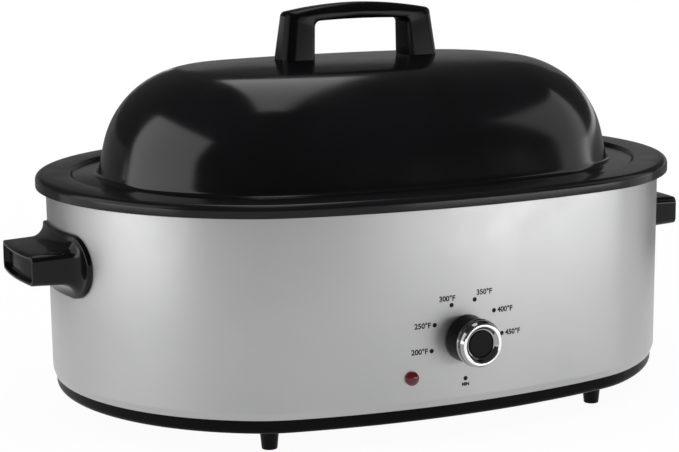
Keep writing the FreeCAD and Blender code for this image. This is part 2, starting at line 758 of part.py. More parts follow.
def insulation_blanket():
    """Fibre blanket round the heater, with windows for the thermostat and the studs."""
    low = BRACKET_SHELF + BRACKET_SHEET + BLANKET_GAP
    high = LINER_TOP - BLANKET_TOP_GAP
    gap = TOUCH_GAP + HEATER_THICKNESS + SEAT_GAP
    blanket = swept(band_face(low, high, gap, BLANKET_THICKNESS))
    half = THERMOSTAT_WIDTH / 2 + BLANKET_MARGIN
    top = DIAL_LEVEL + THERMOSTAT_HEIGHT / 2 + BLANKET_MARGIN
    front = Part.makeBox(2 * half, HALF_WIDTH, top - low, V(-half, -HALF_WIDTH, low))
    heater_high = heater_levels()[1]
    rear = Part.makeBox(BLANKET_WINDOW, HALF_WIDTH, heater_high - low, V(-BLANKET_WINDOW / 2, 0, low))
    return cut(blanket, [front, rear])


def heat_shield():
    """Inverted reflector tray between the liner and the base pan."""
    top = BASE_FLOOR_TOP + SHIELD_HEIGHT
    low = BASE_FLOOR_TOP + SHIELD_SHEET
    path = [(SHIELD_INSET, low, 0), (SHIELD_INSET + SHIELD_RIM, low, SHIELD_BEND),
            (SHIELD_INSET + SHIELD_RIM + SHIELD_LEAN, top, SHIELD_BEND), (SHIELD_FLAT, top, 0)]
    edge = swept(sheet_face(path, SHIELD_SHEET))
    return fuse([edge, inset_plate(SHIELD_FLAT, top - SHIELD_SHEET, top)])


# ---------------------------------------------------------------- thermostat and indicator

def thermostat_front():
    """Y of the thermostat plate's front face."""
    return front_face(DIAL_LEVEL) + HOUSING_SHEET + THERMOSTAT_PLATE_GAP


def rounded_block(low, high, corner):
    """Block along Y with its four long edges rounded."""
    points = [(V(low.x, low.y, low.z), corner), (V(high.x, low.y, low.z), corner),
              (V(high.x, low.y, high.z), corner), (V(low.x, low.y, high.z), corner)]
    return Part.Face(rounded_wire(points)).extrude(Y_AXIS * (high.y - low.y))


def thermostat_body():
    """Mounting plate, bushing and switch housing, bored for the shaft."""
    front = thermostat_front()
    half_w = THERMOSTAT_WIDTH / 2
    half_h = THERMOSTAT_HEIGHT / 2
    back = front + THERMOSTAT_PLATE
    plate = rounded_block(V(-half_w, front, DIAL_LEVEL - half_h), V(half_w, back, DIAL_LEVEL + half_h),
                          THERMOSTAT_CORNER)
    case_w = half_w - THERMOSTAT_LIP
    case = rounded_block(V(-case_w, back, DIAL_LEVEL - half_h),
                         V(case_w, back + THERMOSTAT_DEPTH, DIAL_LEVEL + half_h), THERMOSTAT_CORNER)
    nose = V(0, front_face(DIAL_LEVEL) - BUSHING_REACH, DIAL_LEVEL)
    bushing = rod(nose, V(0, back, DIAL_LEVEL), BUSHING_RADIUS)
    holes = [rod(nose, V(0, back + THERMOSTAT_BORE, DIAL_LEVEL), SHAFT_RADIUS + FIT_GAP)]
    for place in thermostat_screw_places():
        holes.append(rod(place, place + Y_AXIS * DRILL_REACH, SMALL_SCREW_RADIUS + TIGHT_GAP))
    end = capillary_port()
    holes.append(rod(end, end - Z_AXIS * DRILL_REACH, CAPILLARY_RADIUS + TIGHT_GAP))
    return cut(fuse([plate, case, bushing]), holes)


def thermostat_screws():
    """Two short screws from the front, hidden behind the knob."""
    screws = []
    for place in thermostat_screw_places():
        base = V(place.x, front_face(DIAL_LEVEL) - TIGHT_GAP, place.z)
        screws.append(pan_screw(base, Y_AXIS, SMALL_SCREW_HEAD, SMALL_SCREW_HEAD_HEIGHT,
                                SMALL_SCREW_RADIUS, THERMOSTAT_SCREW_LENGTH))
    return screws


def shaft_end():
    """Y of the shaft's tip inside the knob."""
    return front_face(DIAL_LEVEL) - KNOB_REACH + KNOB_CAP_RECESS + KNOB_CAP_THICKNESS + SHAFT_STOP


def knob_turned(shape):
    """Turns a shape made with its pointer up to the knob's rest direction."""
    turn = 90 - KNOB_REST_TURN
    shape.rotate(V(0, 0, DIAL_LEVEL), Y_AXIS, turn)
    return shape


def shaft_flat(radius, start, length):
    """Block beyond the flat of a D-shaped shaft or socket."""
    return Part.makeBox(4 * radius, length, 2 * radius,
                        V(-2 * radius, start, DIAL_LEVEL + SHAFT_RADIUS - SHAFT_FLAT))


def thermostat_shaft():
    """Control shaft with a flat where the knob grips it."""
    tip = V(0, shaft_end(), DIAL_LEVEL)
    back = V(0, thermostat_front() + THERMOSTAT_PLATE + THERMOSTAT_BORE - SEAT_GAP, DIAL_LEVEL)
    shaft = rod(tip, back, SHAFT_RADIUS)
    return knob_turned(shaft.cut(shaft_flat(SHAFT_RADIUS, shaft_end(), SHAFT_FLAT_LENGTH)))


def knob_profile_y(distance):
    """Y at a distance ahead of the housing's front."""
    return front_face(DIAL_LEVEL) - distance


def knob_part(corners):
    """Knob piece turned about the dial's axis from (radius, distance ahead, bend) corners."""
    return turned(corners, V(0, front_face(DIAL_LEVEL), DIAL_LEVEL), V(0, -1, 0))


def knob_skirt():
    """Black body: skirt, web and D-bored hub, with a pointer groove."""
    web_top = KNOB_REACH - KNOB_CAP_RECESS - KNOB_CAP_THICKNESS
    web_low = web_top - KNOB_WALL
    ring_low = KNOB_REACH - KNOB_RING_DEPTH
    deck = ring_low - KNOB_WALL
    hub_low = KNOB_STANDOFF + KNOB_HUB_RECESS
    tip = KNOB_RADIUS - KNOB_TAPER
    neck = KNOB_CAP_RADIUS + KNOB_NECK_GAP
    throat = neck - KNOB_NECK_WALL
    body = knob_part([
        (0, hub_low, 0), (KNOB_HUB_RADIUS, hub_low, KNOB_EDGE), (KNOB_HUB_RADIUS, web_low, KNOB_EDGE),
        (throat, web_low, KNOB_EDGE), (throat, deck, KNOB_EDGE), (tip - KNOB_WALL, deck, KNOB_EDGE),
        (KNOB_RADIUS - KNOB_WALL, KNOB_STANDOFF, 0), (KNOB_RADIUS, KNOB_STANDOFF, KNOB_EDGE),
        (tip, ring_low, 0), (neck, ring_low, 0), (neck, web_top, 0), (0, web_top, 0)])
    socket_start = shaft_end() - SOCKET_END_GAP
    socket_end = knob_profile_y(KNOB_STANDOFF)
    socket = rod(V(0, socket_start, DIAL_LEVEL), V(0, socket_end, DIAL_LEVEL), SHAFT_RADIUS + TIGHT_GAP)
    beyond_flat = shaft_flat(SHAFT_RADIUS, socket_start, SHAFT_FLAT_LENGTH).translated(Z_AXIS * TIGHT_GAP)
    groove = Part.makeBox(POINTER_WIDTH, ring_low - KNOB_STANDOFF - POINTER_MARGIN, KNOB_WALL,
                          V(-POINTER_WIDTH / 2, knob_profile_y(ring_low), DIAL_LEVEL + tip - POINTER_DEPTH))
    return knob_turned(cut(body, [socket.cut(beyond_flat), groove]))


def knob_ring():
    """Chrome ring with a rounded crest and a dished inner face."""
    low = KNOB_REACH - KNOB_RING_DEPTH + TIGHT_GAP
    outer = KNOB_RADIUS + KNOB_RING_PROUD
    inner = KNOB_CAP_RADIUS + KNOB_NECK_GAP + TIGHT_GAP
    dish = KNOB_REACH - KNOB_CAP_RECESS
    return knob_part([(inner, low, 0), (outer, low, KNOB_EDGE / 2),
                      (outer, low + KNOB_RING_SIDE, KNOB_CREST_BEND),
                      (KNOB_CREST_RADIUS + KNOB_CREST_HALF, KNOB_REACH, KNOB_CREST_BEND),
                      (KNOB_CREST_RADIUS - KNOB_CREST_HALF, KNOB_REACH, KNOB_CREST_BEND),
                      (inner + KNOB_RING_LIP, dish, KNOB_EDGE / 2), (inner, dish, 0)])


def knob_cap():
    """Black disc set into the ring."""
    low = KNOB_REACH - KNOB_CAP_RECESS - KNOB_CAP_THICKNESS + TIGHT_GAP
    high = low + KNOB_CAP_THICKNESS
    return knob_part([(0, low, 0), (KNOB_CAP_RADIUS, low, 0), (KNOB_CAP_RADIUS, high, KNOB_EDGE / 2),
                      (0, high, 0)])


def bulb_axis():
    """Front and rear ends of the sensor bulb's axis, just under the liner's floor."""
    level = LINER_FLOOR - LINER_SHEET - TOUCH_GAP - BULB_RADIUS
    rear = V(BULB_OFFSET, BULB_REAR - HALF_WIDTH, level)
    return rear - Y_AXIS * BULB_LENGTH, rear


def thermostat_bulb():
    """Sensor bulb with rounded ends."""
    front, rear = bulb_axis()
    corners = [(0, 0, 0), (BULB_RADIUS, 0, BULB_BEND), (BULB_RADIUS, BULB_LENGTH, BULB_BEND),
               (0, BULB_LENGTH, 0)]
    return turned(corners, front, rear - front)


def bulb_clip():
    """Two spring saddles that press the bulb to the liner."""
    front, rear = bulb_axis()
    inner = BULB_RADIUS + CLIP_GAP
    outer = inner + CLIP_SHEET
    roof = LINER_FLOOR - LINER_SHEET - TIGHT_GAP
    clips = []
    for share in (0.25, 0.75):
        low = V(BULB_OFFSET, front.y + (rear.y - front.y) * share - CLIP_WIDTH / 2, front.z)
        saddle = Part.makeCylinder(outer, CLIP_WIDTH, low, Y_AXIS)
        walls = Part.makeBox(2 * outer, CLIP_WIDTH, roof - low.z, low - X_AXIS * outer)
        tab_low = V(BULB_OFFSET - outer - CLIP_TAB, low.y, roof - CLIP_SHEET)
        tabs = Part.makeBox(2 * (outer + CLIP_TAB), CLIP_WIDTH, CLIP_SHEET, tab_low)
        channel = Part.makeCylinder(inner, CLIP_WIDTH, low, Y_AXIS)
        mouth = Part.makeBox(2 * inner, CLIP_WIDTH, roof - low.z, low - X_AXIS * inner)
        above = Part.makeBox(4 * outer, CLIP_WIDTH, outer, V(BULB_OFFSET - 2 * outer, low.y, roof))
        clips.append(cut(fuse([saddle, walls, tabs]), [channel, mouth, above]))
    return clips


def capillary_port():
    """Upper end of the capillary, inside the thermostat."""
    return V(BULB_OFFSET, thermostat_front() + THERMOSTAT_PLATE + THERMOSTAT_DEPTH / 2,
             DIAL_LEVEL - THERMOSTAT_HEIGHT / 2 + CAPILLARY_SOCKET)


def capillary_tube():
    """Fine tube from the thermostat down and under the liner to the bulb."""
    front = bulb_axis()[0]
    port = capillary_port() - Z_AXIS * TIGHT_GAP
    corner = V(port.x, port.y, front.z)
    return tube([(port, 0), (corner, CAPILLARY_BEND), (front - Y_AXIS * TIGHT_GAP, 0)], CAPILLARY_RADIUS)


def lens_base():
    """Point on the housing's outer skin at the indicator."""
    return V(LENS_X, front_at(LENS_X, LENS_LEVEL), LENS_LEVEL)


def indicator_lens():
    """Domed lens with a hollow neck through the housing."""
    lift = TOUCH_GAP
    cavity = LAMP_RADIUS + LAMP_GAP
    middle = lift + LENS_BEZEL / 2
    top = lift + LENS_BEZEL + LENS_DOME
    return turned([(0, middle, 0), (cavity, middle, 0), (cavity, -LENS_NECK, 0),
                   (LENS_NECK_RADIUS, -LENS_NECK, LENS_EDGE / 2), (LENS_NECK_RADIUS, lift, 0),
                   (LENS_RADIUS, lift, 0), (LENS_RADIUS, lift + LENS_BEZEL, LENS_EDGE),
                   (LENS_CROWN_RADIUS, top, LENS_CROWN_BEND), (0, top, 0)],
                  lens_base(), front_normal(LENS_X, LENS_LEVEL))


def indicator_lamp():
    """Neon lamp inside the lens's neck."""
    tip = TOUCH_GAP + LENS_BEZEL / 2 - CLIP_GAP
    corners = [(0, tip, 0), (LAMP_RADIUS, tip, LAMP_TIP_BEND), (LAMP_RADIUS, tip - LAMP_LENGTH, 0),
               (0, tip - LAMP_LENGTH, 0)]
    return turned(corners, lens_base(), front_normal(LENS_X, LENS_LEVEL))


def lamp_clip():
    """Push-on ring that holds the lens from inside."""
    out = front_normal(LENS_X, LENS_LEVEL)
    inside = lens_base() - out * (HOUSING_SHEET + 2 * TOUCH_GAP)
    return ring_washer(inside, -out, LENS_NECK_RADIUS + LAMP_CLIP_WIDTH, LENS_NECK_RADIUS + TIGHT_GAP,
                       CLIP_SHEET)


# ---------------------------------------------------------------- side handles

def handle_section(reach, half_width, half_height, corner):
    """Rounded rectangle across the handle at a distance out from the housing's end."""
    x = HALF_LENGTH - housing_inset(HANDLE_LEVEL) + reach
    points = [(V(x, -half_width, HANDLE_LEVEL - half_height), corner),
              (V(x, half_width, HANDLE_LEVEL - half_height), corner),
              (V(x, half_width, HANDLE_LEVEL + half_height), corner),
              (V(x, -half_width, HANDLE_LEVEL + half_height), corner)]
    return rounded_wire(points)


def handle_block(start, finish, half_width, half_height, corner, taper):
    """Rounded block along X, between two distances out from the housing's end."""
    return Part.makeLoft([handle_section(start, half_width, half_height, corner),
                          handle_section(finish, half_width - taper, half_height - taper, corner)], True, True)


def housing_envelope(gap):
    """Solid inside the housing's wall, grown outwards by a gap."""
    low = HOUSING_LOW + HOUSING_ROLL
    face = profile_face([(housing_inset(low) - gap, low, 0), (HOUSING_TOP_INSET - gap, HOUSING_TOP, 0),
                         (BASE_FLAT, HOUSING_TOP, 0), (BASE_FLAT, low, 0)])
    return fuse([swept(face), inset_plate(BASE_FLAT, low, HOUSING_TOP)])


def edges_where(shape, test):
    """Edges of a shape whose middle point passes a test."""
    return [edge for edge in shape.Edges
            if test(edge.valueAt((edge.FirstParameter + edge.LastParameter) / 2))]


def on_flange(point):
    """Whether a point lies on the outer face of the handle's flange."""
    inset = housing_inset(point.z) - FLANGE_THICKNESS
    return abs(point.x - end_reach(inset, point.y)) < TIGHT_GAP


def grip_bow(radius):
    """Upright cylinder about the axis of the grip's bowed end."""
    end = HALF_LENGTH - housing_inset(HANDLE_LEVEL) + HANDLE_REACH
    return Part.makeCylinder(radius, 2 * FLANGE_HEIGHT,
                             V(end - HANDLE_BOW_RADIUS, 0, HANDLE_LEVEL - FLANGE_HEIGHT))


def side_handle_right():
    """Moulded handle: a saddle flange filleted into a grip with a bowed, dished outer end."""
    half_w = HANDLE_WIDTH / 2
    half_h = HANDLE_THICKNESS / 2
    tall = FLANGE_HEIGHT / 2
    plate = handle_block(-HANDLE_REACH, HANDLE_REACH, FLANGE_WIDTH / 2, tall, tall * FLANGE_ROUND, 0)
    grip = handle_block(-HANDLE_REACH, HANDLE_REACH, half_w, half_h, HANDLE_CORNER, HANDLE_TAPER)
    body = fuse([plate.common(housing_envelope(FLANGE_THICKNESS)), grip])
    root = edges_where(body, lambda p: (on_flange(p) and abs(p.y) <= half_w
                                        and abs(p.z - HANDLE_LEVEL) <= half_h))
    body = body.makeFillet(FLANGE_FILLET, root)
    clear = half_h + FLANGE_FILLET
    far = half_w + FLANGE_FILLET
    rim = edges_where(body, lambda p: on_flange(p) and (abs(p.y) > far or abs(p.z - HANDLE_LEVEL) > clear))
    body = body.makeFillet(FLANGE_EDGE, rim)
    bow = grip_bow(HANDLE_BOW_RADIUS)
    inner_w = half_w - HANDLE_TAPER - RECESS_WALL
    inner_h = half_h - HANDLE_TAPER - RECESS_WALL
    dish = handle_block(HANDLE_REACH - 2 * RECESS_DEPTH, HANDLE_REACH, inner_w - 2 * RECESS_TAPER,
                        inner_h - 2 * RECESS_TAPER, RECESS_CORNER, -2 * RECESS_TAPER)
    recess = dish.cut(grip_bow(HANDLE_BOW_RADIUS - RECESS_DEPTH))
    pilots = []
    for place in handle_screw_places():
        pilots.append(rod(place - X_AXIS * DRILL_REACH, place + X_AXIS * HANDLE_SCREW_LENGTH,
                          HANDLE_SCREW_RADIUS + TIGHT_GAP))
    return cut(body.common(bow), [housing_envelope(TOUCH_GAP), recess] + pilots)


def washer_seat(place):
    """Centre of a handle washer's outer face, just clear of the housing's curved inner skin."""
    inset = housing_inset(HANDLE_LEVEL) + HOUSING_SHEET
    edge = end_reach(inset, abs(place.y) + HANDLE_WASHER_RADIUS)
    return V(edge - SEAT_GAP, place.y, place.z)


def handle_screws():
    """Screws from inside the housing into both handles, with their washers."""
    screws = []
    washers = []
    for place in handle_screw_places():
        back = washer_seat(place) - X_AXIS * WASHER_THICKNESS
        washer = ring_washer(back, X_AXIS, HANDLE_WASHER_RADIUS, HANDLE_SCREW_RADIUS + CLIP_GAP,
                             WASHER_THICKNESS)
        screw = pan_screw(back - X_AXIS * TIGHT_GAP, X_AXIS, HANDLE_SCREW_HEAD, HANDLE_SCREW_HEAD_HEIGHT,
                          HANDLE_SCREW_RADIUS, HANDLE_SCREW_LENGTH)
        screws += [screw, screw.mirror(HERE, X_AXIS)]
        washers += [washer, washer.mirror(HERE, X_AXIS)]
    return screws, washers


# ---------------------------------------------------------------- supply entry

def gland_base():
    """Point on the housing's outer skin at the supply entry."""
    return V(0, -front_face(GLAND_LEVEL), GLAND_LEVEL)


def cord_gland():
    """Bushing for the supply lead: flange outside, neck through the wall, one straight bore."""
    lift = TOUCH_GAP
    flange = lift + GLAND_FLANGE
    nose = GLAND_BORE_RADIUS + GLAND_NOSE_WALL
    return turned([(GLAND_BORE_RADIUS, -GLAND_INSIDE, 0), (GLAND_NECK_RADIUS, -GLAND_INSIDE, GLAND_EDGE),
                   (GLAND_NECK_RADIUS, lift, 0), (GLAND_FLANGE_RADIUS, lift, 0),
                   (GLAND_FLANGE_RADIUS, flange, GLAND_EDGE),
                   (GLAND_NECK_RADIUS, flange + GLAND_SHOULDER, GLAND_EDGE),
                   (nose, GLAND_NOSE, GLAND_EDGE / 2), (GLAND_BORE_RADIUS, GLAND_NOSE, 0)],
                  gland_base(), Y_AXIS)


def block_place():
    """Low corner of the terminal block, inside the back wall."""
    skin = half_width_at(housing_inset(GLAND_LEVEL) + HOUSING_SHEET, BLOCK_OFFSET + BLOCK_LENGTH)
    return V(BLOCK_OFFSET, skin - BLOCK_GAP - BLOCK_DEPTH, GLAND_LEVEL - BLOCK_HEIGHT / 2)


def block_ways():
    """Centres of the block's wire entries on its upper face."""
    low = block_place()
    pitch = BLOCK_LENGTH / BLOCK_WAYS
    top = low + V(pitch / 2, BLOCK_DEPTH / 2, BLOCK_HEIGHT)
    return [top + X_AXIS * (pitch * index) for index in range(BLOCK_WAYS)]


def terminal_block():
    """Block with a row of round wire entries."""
    body = Part.makeBox(BLOCK_LENGTH, BLOCK_DEPTH, BLOCK_HEIGHT, block_place())
    holes = [rod(way, way - Z_AXIS * BLOCK_HEIGHT, LEAD_RADIUS + CLIP_GAP) for way in block_ways()]
    return cut(body, holes)


def lead_wires():
    """Insulated leads from the block's first two entries to the tips of the studs."""
    left, right = [base + Y_AXIS * (STUD_LENGTH + LEAD_RADIUS + TIGHT_GAP) for base in stud_bases()]
    near, far = block_ways()[:2]
    level = right.z
    over = level + LEAD_STEP
    down = Z_AXIS * LEAD_DEPTH
    first = [(near - down, 0), (V(near.x, near.y, level), LEAD_BEND), (right, 0)]
    second = [(far - down, 0), (V(far.x, far.y, over), LEAD_BEND), (V(left.x, left.y, over), LEAD_BEND),
              (left, 0)]
    return [tube(first, LEAD_RADIUS), tube(second, LEAD_RADIUS)]


# ---------------------------------------------------------------- cookwell and rack

def cookwell():
    """Lift-out enamelled pan whose wide rim caps the housing, with a recessed ledge for the lid."""
    path = [(0, RIM_LOW, 0), (0, RIM_TOP, RIM_BEND), (RIM_BAND, RIM_TOP, LEDGE_BEND),
            (LEDGE_START, LEDGE_TOP, LEDGE_BEND), (WELL_INSET, LEDGE_TOP, WELL_MOUTH_BEND),
            (WELL_INSET + WELL_DRAFT, WELL_FLOOR, WELL_FLOOR_BEND), (WELL_FLAT, WELL_FLOOR, 0)]
    wall = swept(sheet_face(path, RIM_THICKNESS))
    return fuse([wall, inset_plate(WELL_FLAT, WELL_FLOOR - RIM_THICKNESS, WELL_FLOOR)])


def rack_level():
    """Level of the rack frame's centre line."""
    return WELL_FLOOR + RACK_LEVEL


def rack_leg(x, side):
    """Bent wire leg: down from the frame, along the floor and up again."""
    level = rack_level()
    bottom = WELL_FLOOR + SEAT_GAP + RACK_WIRE
    half = RACK_LEG_WIDTH / 2
    outer = side * half_width_at(RACK_INSET, x)
    inner = outer - side * RACK_LEG_LEAN
    return tube([(V(x - half, outer, level), 0), (V(x - half, inner, bottom), RACK_LEG_BEND),
                 (V(x + half, inner, bottom), RACK_LEG_BEND), (V(x + half, outer, level), 0)], RACK_WIRE)


def rack_loop(side):
    """Lifting loop at one end of the frame."""
    level = rack_level()
    top = level + RACK_HANDLE_HEIGHT
    foot = side * (HALF_LENGTH - RACK_INSET - RACK_HANDLE_SET)
    crest = foot - side * RACK_HANDLE_LEAN
    half = RACK_HANDLE_WIDTH / 2
    high = half - RACK_HANDLE_TAPER
    return tube([(V(foot, -half, level), 0), (V(crest, -high, top), RACK_BEND),
                 (V(crest, high, top), RACK_BEND), (V(foot, half, level), 0)], RACK_WIRE)


def rack_frame():
    """Oval frame wire with four bent legs and a lifting loop at each end."""
    level = rack_level()
    corners = []
    for across, up in ((-1, -1), (-1, 1), (1, 1), (1, -1)):
        corners.append((RACK_INSET + across * RACK_WIRE, level + up * RACK_WIRE, RACK_WIRE * FULL_ROUND))
    pieces = [swept(profile_face(corners)), rack_loop(-1), rack_loop(1)]
    for x in (-RACK_LEG_X, RACK_LEG_X):
        pieces += [rack_leg(x, -1), rack_leg(x, 1)]
    return fuse(pieces)


def rack_rods():
    """Cross rods laid over the frame."""
    level = rack_level() + RACK_WIRE + RACK_ROD + ROD_GAP
    span = HALF_LENGTH - RACK_INSET
    count = int((span - RACK_PITCH / 2) // RACK_PITCH)
    rods = []
    for index in range(-count, count + 1):
        x = index * RACK_PITCH
        half = half_width_at(RACK_INSET, x) + ROD_OVERHANG
        rods.append(rod(V(x, -half, level), V(x, half, level), RACK_ROD))
    return rods


# ---------------------------------------------------------------- lid

def wall_inset_at(level):
    """Inset of the lid's wall at a level."""
    return LID_FOOT_INSET + (level - LID_BRIM_TOP) * math.tan(math.radians(LID_WALL_TURN))


def arc_steps(inset, level, radius, first, last, steps):
    """(inset, level, slope angle) points up an arc whose slope turns from first to last."""
    points = []
    for step in range(1, steps + 1):
        turn = first + (last - first) * step / steps
        run = math.cos(math.radians(first)) - math.cos(math.radians(turn))
        rise = math.sin(math.radians(turn)) - math.sin(math.radians(first))
        points.append((inset + radius * run, level + radius * rise, turn))
    return points


def lid_stations():
    """(inset, level, slope angle) of the dome's outer skin from the brim to the handle's pad."""
    low = LID_BRIM_LOW
    high = LID_BRIM_TOP + LID_WALL_HEIGHT
    stations = [(wall_inset_at(low), low, LID_WALL_TURN), (wall_inset_at(high), high, LID_WALL_TURN)]
    stations += arc_steps(wall_inset_at(high), high, LID_SHOULDER_RADIUS, LID_WALL_TURN,
                          LID_SHOULDER_TURN, LID_SHOULDER_STEPS)
    inset, level, turn = stations[-1]
    return stations + arc_steps(inset, level, LID_CROWN_RADIUS, turn, LID_CROWN_TURN, LID_CROWN_STEPS)


LID_TOP = lid_stations()[-1][1]


def dome(shrink):
    """Solid under the dome's skin, moved inwards by an amount."""
    start = lid_stations()[0][0]
    share = (CORNER_RADIUS - start) / (HALF_WIDTH - start)
    wires = []
    for inset, level, turn in lid_stations():
        moved = inset + shrink * math.cos(math.radians(turn))
        corner = share * (HALF_WIDTH - inset) - (moved - inset)
        arcs = oval_arcs(HALF_LENGTH - moved, HALF_WIDTH - moved, corner)
        wires.append(arcs_wire(arcs, 0, level - shrink * math.sin(math.radians(turn))))
    return Part.makeLoft(wires, True, False)


def lid_screw_places():
    """Where the handle's screws pass through the lid's pad."""
    x = (LID_HANDLE_LENGTH + LID_HANDLE_WINDOW) / 4
    return [V(-x, 0, LID_TOP), V(x, 0, LID_TOP)]


def lid_shell():
    """Domed lid with a flat brim that sits on the cookwell's ledge."""
    brim = inset_plate(LEDGE_START + LID_BRIM_PLAY, LID_BRIM_LOW, LID_BRIM_TOP)
    outside = fuse([brim, dome(0)])
    fold = []
    for edge in outside.Edges:
        box = edge.BoundBox
        middle = edge.valueAt((edge.FirstParameter + edge.LastParameter) / 2)
        level = abs(box.ZMin - LID_BRIM_TOP) < TIGHT_GAP and abs(box.ZMax - LID_BRIM_TOP) < TIGHT_GAP
        if level and abs(middle.y) < half_width_at(LID_FOOT_INSET - LID_FOOT_BEND, middle.x):
            fold.append(edge)
    shell = outside.makeFillet(LID_FOOT_BEND, fold)
    down = Z_AXIS * DRILL_REACH
    holes = [rod(place - down, place + down, LID_SCREW_RADIUS + HOLE_GAP) for place in lid_screw_places()]
    return cut(shell, [dome(LID_SHEET)] + holes)


def mirrored_corners(corners):
    """The corners' images on the other side of the Z axis, in reverse order."""
    return [(V(-point.x, -point.y, point.z), bend) for point, bend in reversed(corners)]


def lid_handle():
    """Arched handle: two flared legs and a crowned bar, made from its front and side outlines."""
    base = LID_TOP + TOUCH_GAP
    top = base + LID_HANDLE_HEIGHT
    sill = top - LID_HANDLE_BAR
    half = LID_HANDLE_LENGTH / 2
    shoulder = half - LID_HANDLE_TAPER
    window = LID_HANDLE_WINDOW / 2
    leg = [(V(-half, 0, base), 0), (V(-shoulder, 0, top - LID_HANDLE_CROWN), LID_HANDLE_CORNER)]
    crown = [(V(0, 0, top + LID_HANDLE_CROWN / 3), LID_HANDLE_LENGTH)]
    opening = [(V(window, 0, base), 0), (V(window - LID_WINDOW_TAPER, 0, sill), LID_WINDOW_CORNER)]
    front = leg + crown + mirrored_corners(leg) + opening + mirrored_corners(opening)
    arch = Part.Face(rounded_wire(front)).extrude(Y_AXIS * LID_HANDLE_FOOT_DEPTH)
    arch.translate(Y_AXIS * (-LID_HANDLE_FOOT_DEPTH / 2))
    flare = [(V(0, -LID_HANDLE_FOOT_DEPTH / 2, base), 0),
             (V(0, -LID_HANDLE_BAR_DEPTH / 2, top + LID_HANDLE_CROWN), 0)]
    side = flare + mirrored_corners(flare)
    flank = Part.Face(rounded_wire(side)).extrude(X_AXIS * LID_HANDLE_LENGTH)
    flank.translate(X_AXIS * (-half))
    body = arch.common(flank).removeSplitter()
    edges = [edge for edge in body.Edges if edge.BoundBox.ZMin > base + TOUCH_GAP]
    body = body.makeFillet(LID_HANDLE_EDGE, edges)
    pilots = []
    for place in lid_screw_places():
        end = place + Z_AXIS * LID_SCREW_LENGTH
        pilots.append(rod(place, end, LID_SCREW_RADIUS + TIGHT_GAP))
    return cut(body, pilots)


def lid_fasteners():
    """Screws and washers under the lid's pad."""
    screws = []
    washers = []
    for place in lid_screw_places():
        back = place - Z_AXIS * (LID_SHEET + SEAT_GAP + WASHER_THICKNESS)
        washers.append(ring_washer(back, Z_AXIS, LID_WASHER_RADIUS, LID_SCREW_RADIUS + CLIP_GAP,
                                   WASHER_THICKNESS))
        screws.append(pan_screw(back - Z_AXIS * TIGHT_GAP, Z_AXIS, LID_SCREW_HEAD_RADIUS,
                                LID_SCREW_HEAD_HEIGHT, LID_SCREW_RADIUS, LID_SCREW_LENGTH))
    return screws, washers


# ---------------------------------------------------------------- assembly

def export(name, shape):
    """Writes one sub-part, moved so that the origin is the middle of the overall footprint."""
    setback = (KNOB_REACH - front_face(DIAL_LEVEL) - HALF_WIDTH) / 2
    placed = shape.copy()
    placed.translate(Y_AXIS * setback)
    placed.exportStep("parts/" + name + ".step")


def main():
    """Builds and writes every sub-part."""
    os.makedirs("parts", exist_ok=True)
    feet = four_ways(foot_place())
    for where, place in feet.items():
        export("foot_" + where, foot(place))
    export("foot_screws", Part.makeCompound([foot_screw(place) for place in feet.values()]))
    export("foot_nuts", Part.makeCompound([foot_nut(place) for place in feet.values()]))
    export("housing_brackets", Part.makeCompound(mirrored_four(housing_bracket())))
    export("base_pan", base_pan())
    export("outer_housing", outer_housing())
    export("inner_liner", inner_liner())
    export("heater_band", heater_band())
    export("heater_terminals", Part.makeCompound(heater_terminals()))
    export("insulation_blanket", insulation_blanket())
    export("heat_shield", heat_shield())
    export("thermostat_body", thermostat_body())
    export("thermostat_screws", Part.makeCompound(thermostat_screws()))
    export("thermostat_shaft", thermostat_shaft())
    export("thermostat_bulb", thermostat_bulb())
    export("bulb_clip", Part.makeCompound(bulb_clip()))
    export("capillary_tube", capillary_tube())
    export("knob_skirt", knob_skirt())
    export("knob_ring", knob_ring())
    export("knob_cap", knob_cap())
    export("indicator_lens", indicator_lens())
    export("indicator_lamp", indicator_lamp())
    export("lamp_clip", lamp_clip())
    right = side_handle_right()
    export("side_handle_right", right)
    export("side_handle_left", right.mirror(HERE, X_AXIS))
    screws, washers = handle_screws()
    export("side_handle_screws", Part.makeCompound(screws))
    export("side_handle_washers", Part.makeCompound(washers))
    export("cord_gland", cord_gland())
    export("terminal_block", terminal_block())
    export("lead_wires", Part.makeCompound(lead_wires()))
    export("cookwell", cookwell())
    export("rack_frame", rack_frame())
    export("rack_rods", Part.makeCompound(rack_rods()))
    export("lid_shell", lid_shell())
    export("lid_handle", lid_handle())
    screws, washers = lid_fasteners()
    export("lid_handle_screws", Part.makeCompound(screws))
    export("lid_handle_washers", Part.makeCompound(washers))


main()
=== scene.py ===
import json
import math

import bmesh
import bpy
import numpy as np
from mathutils import Matrix, Vector


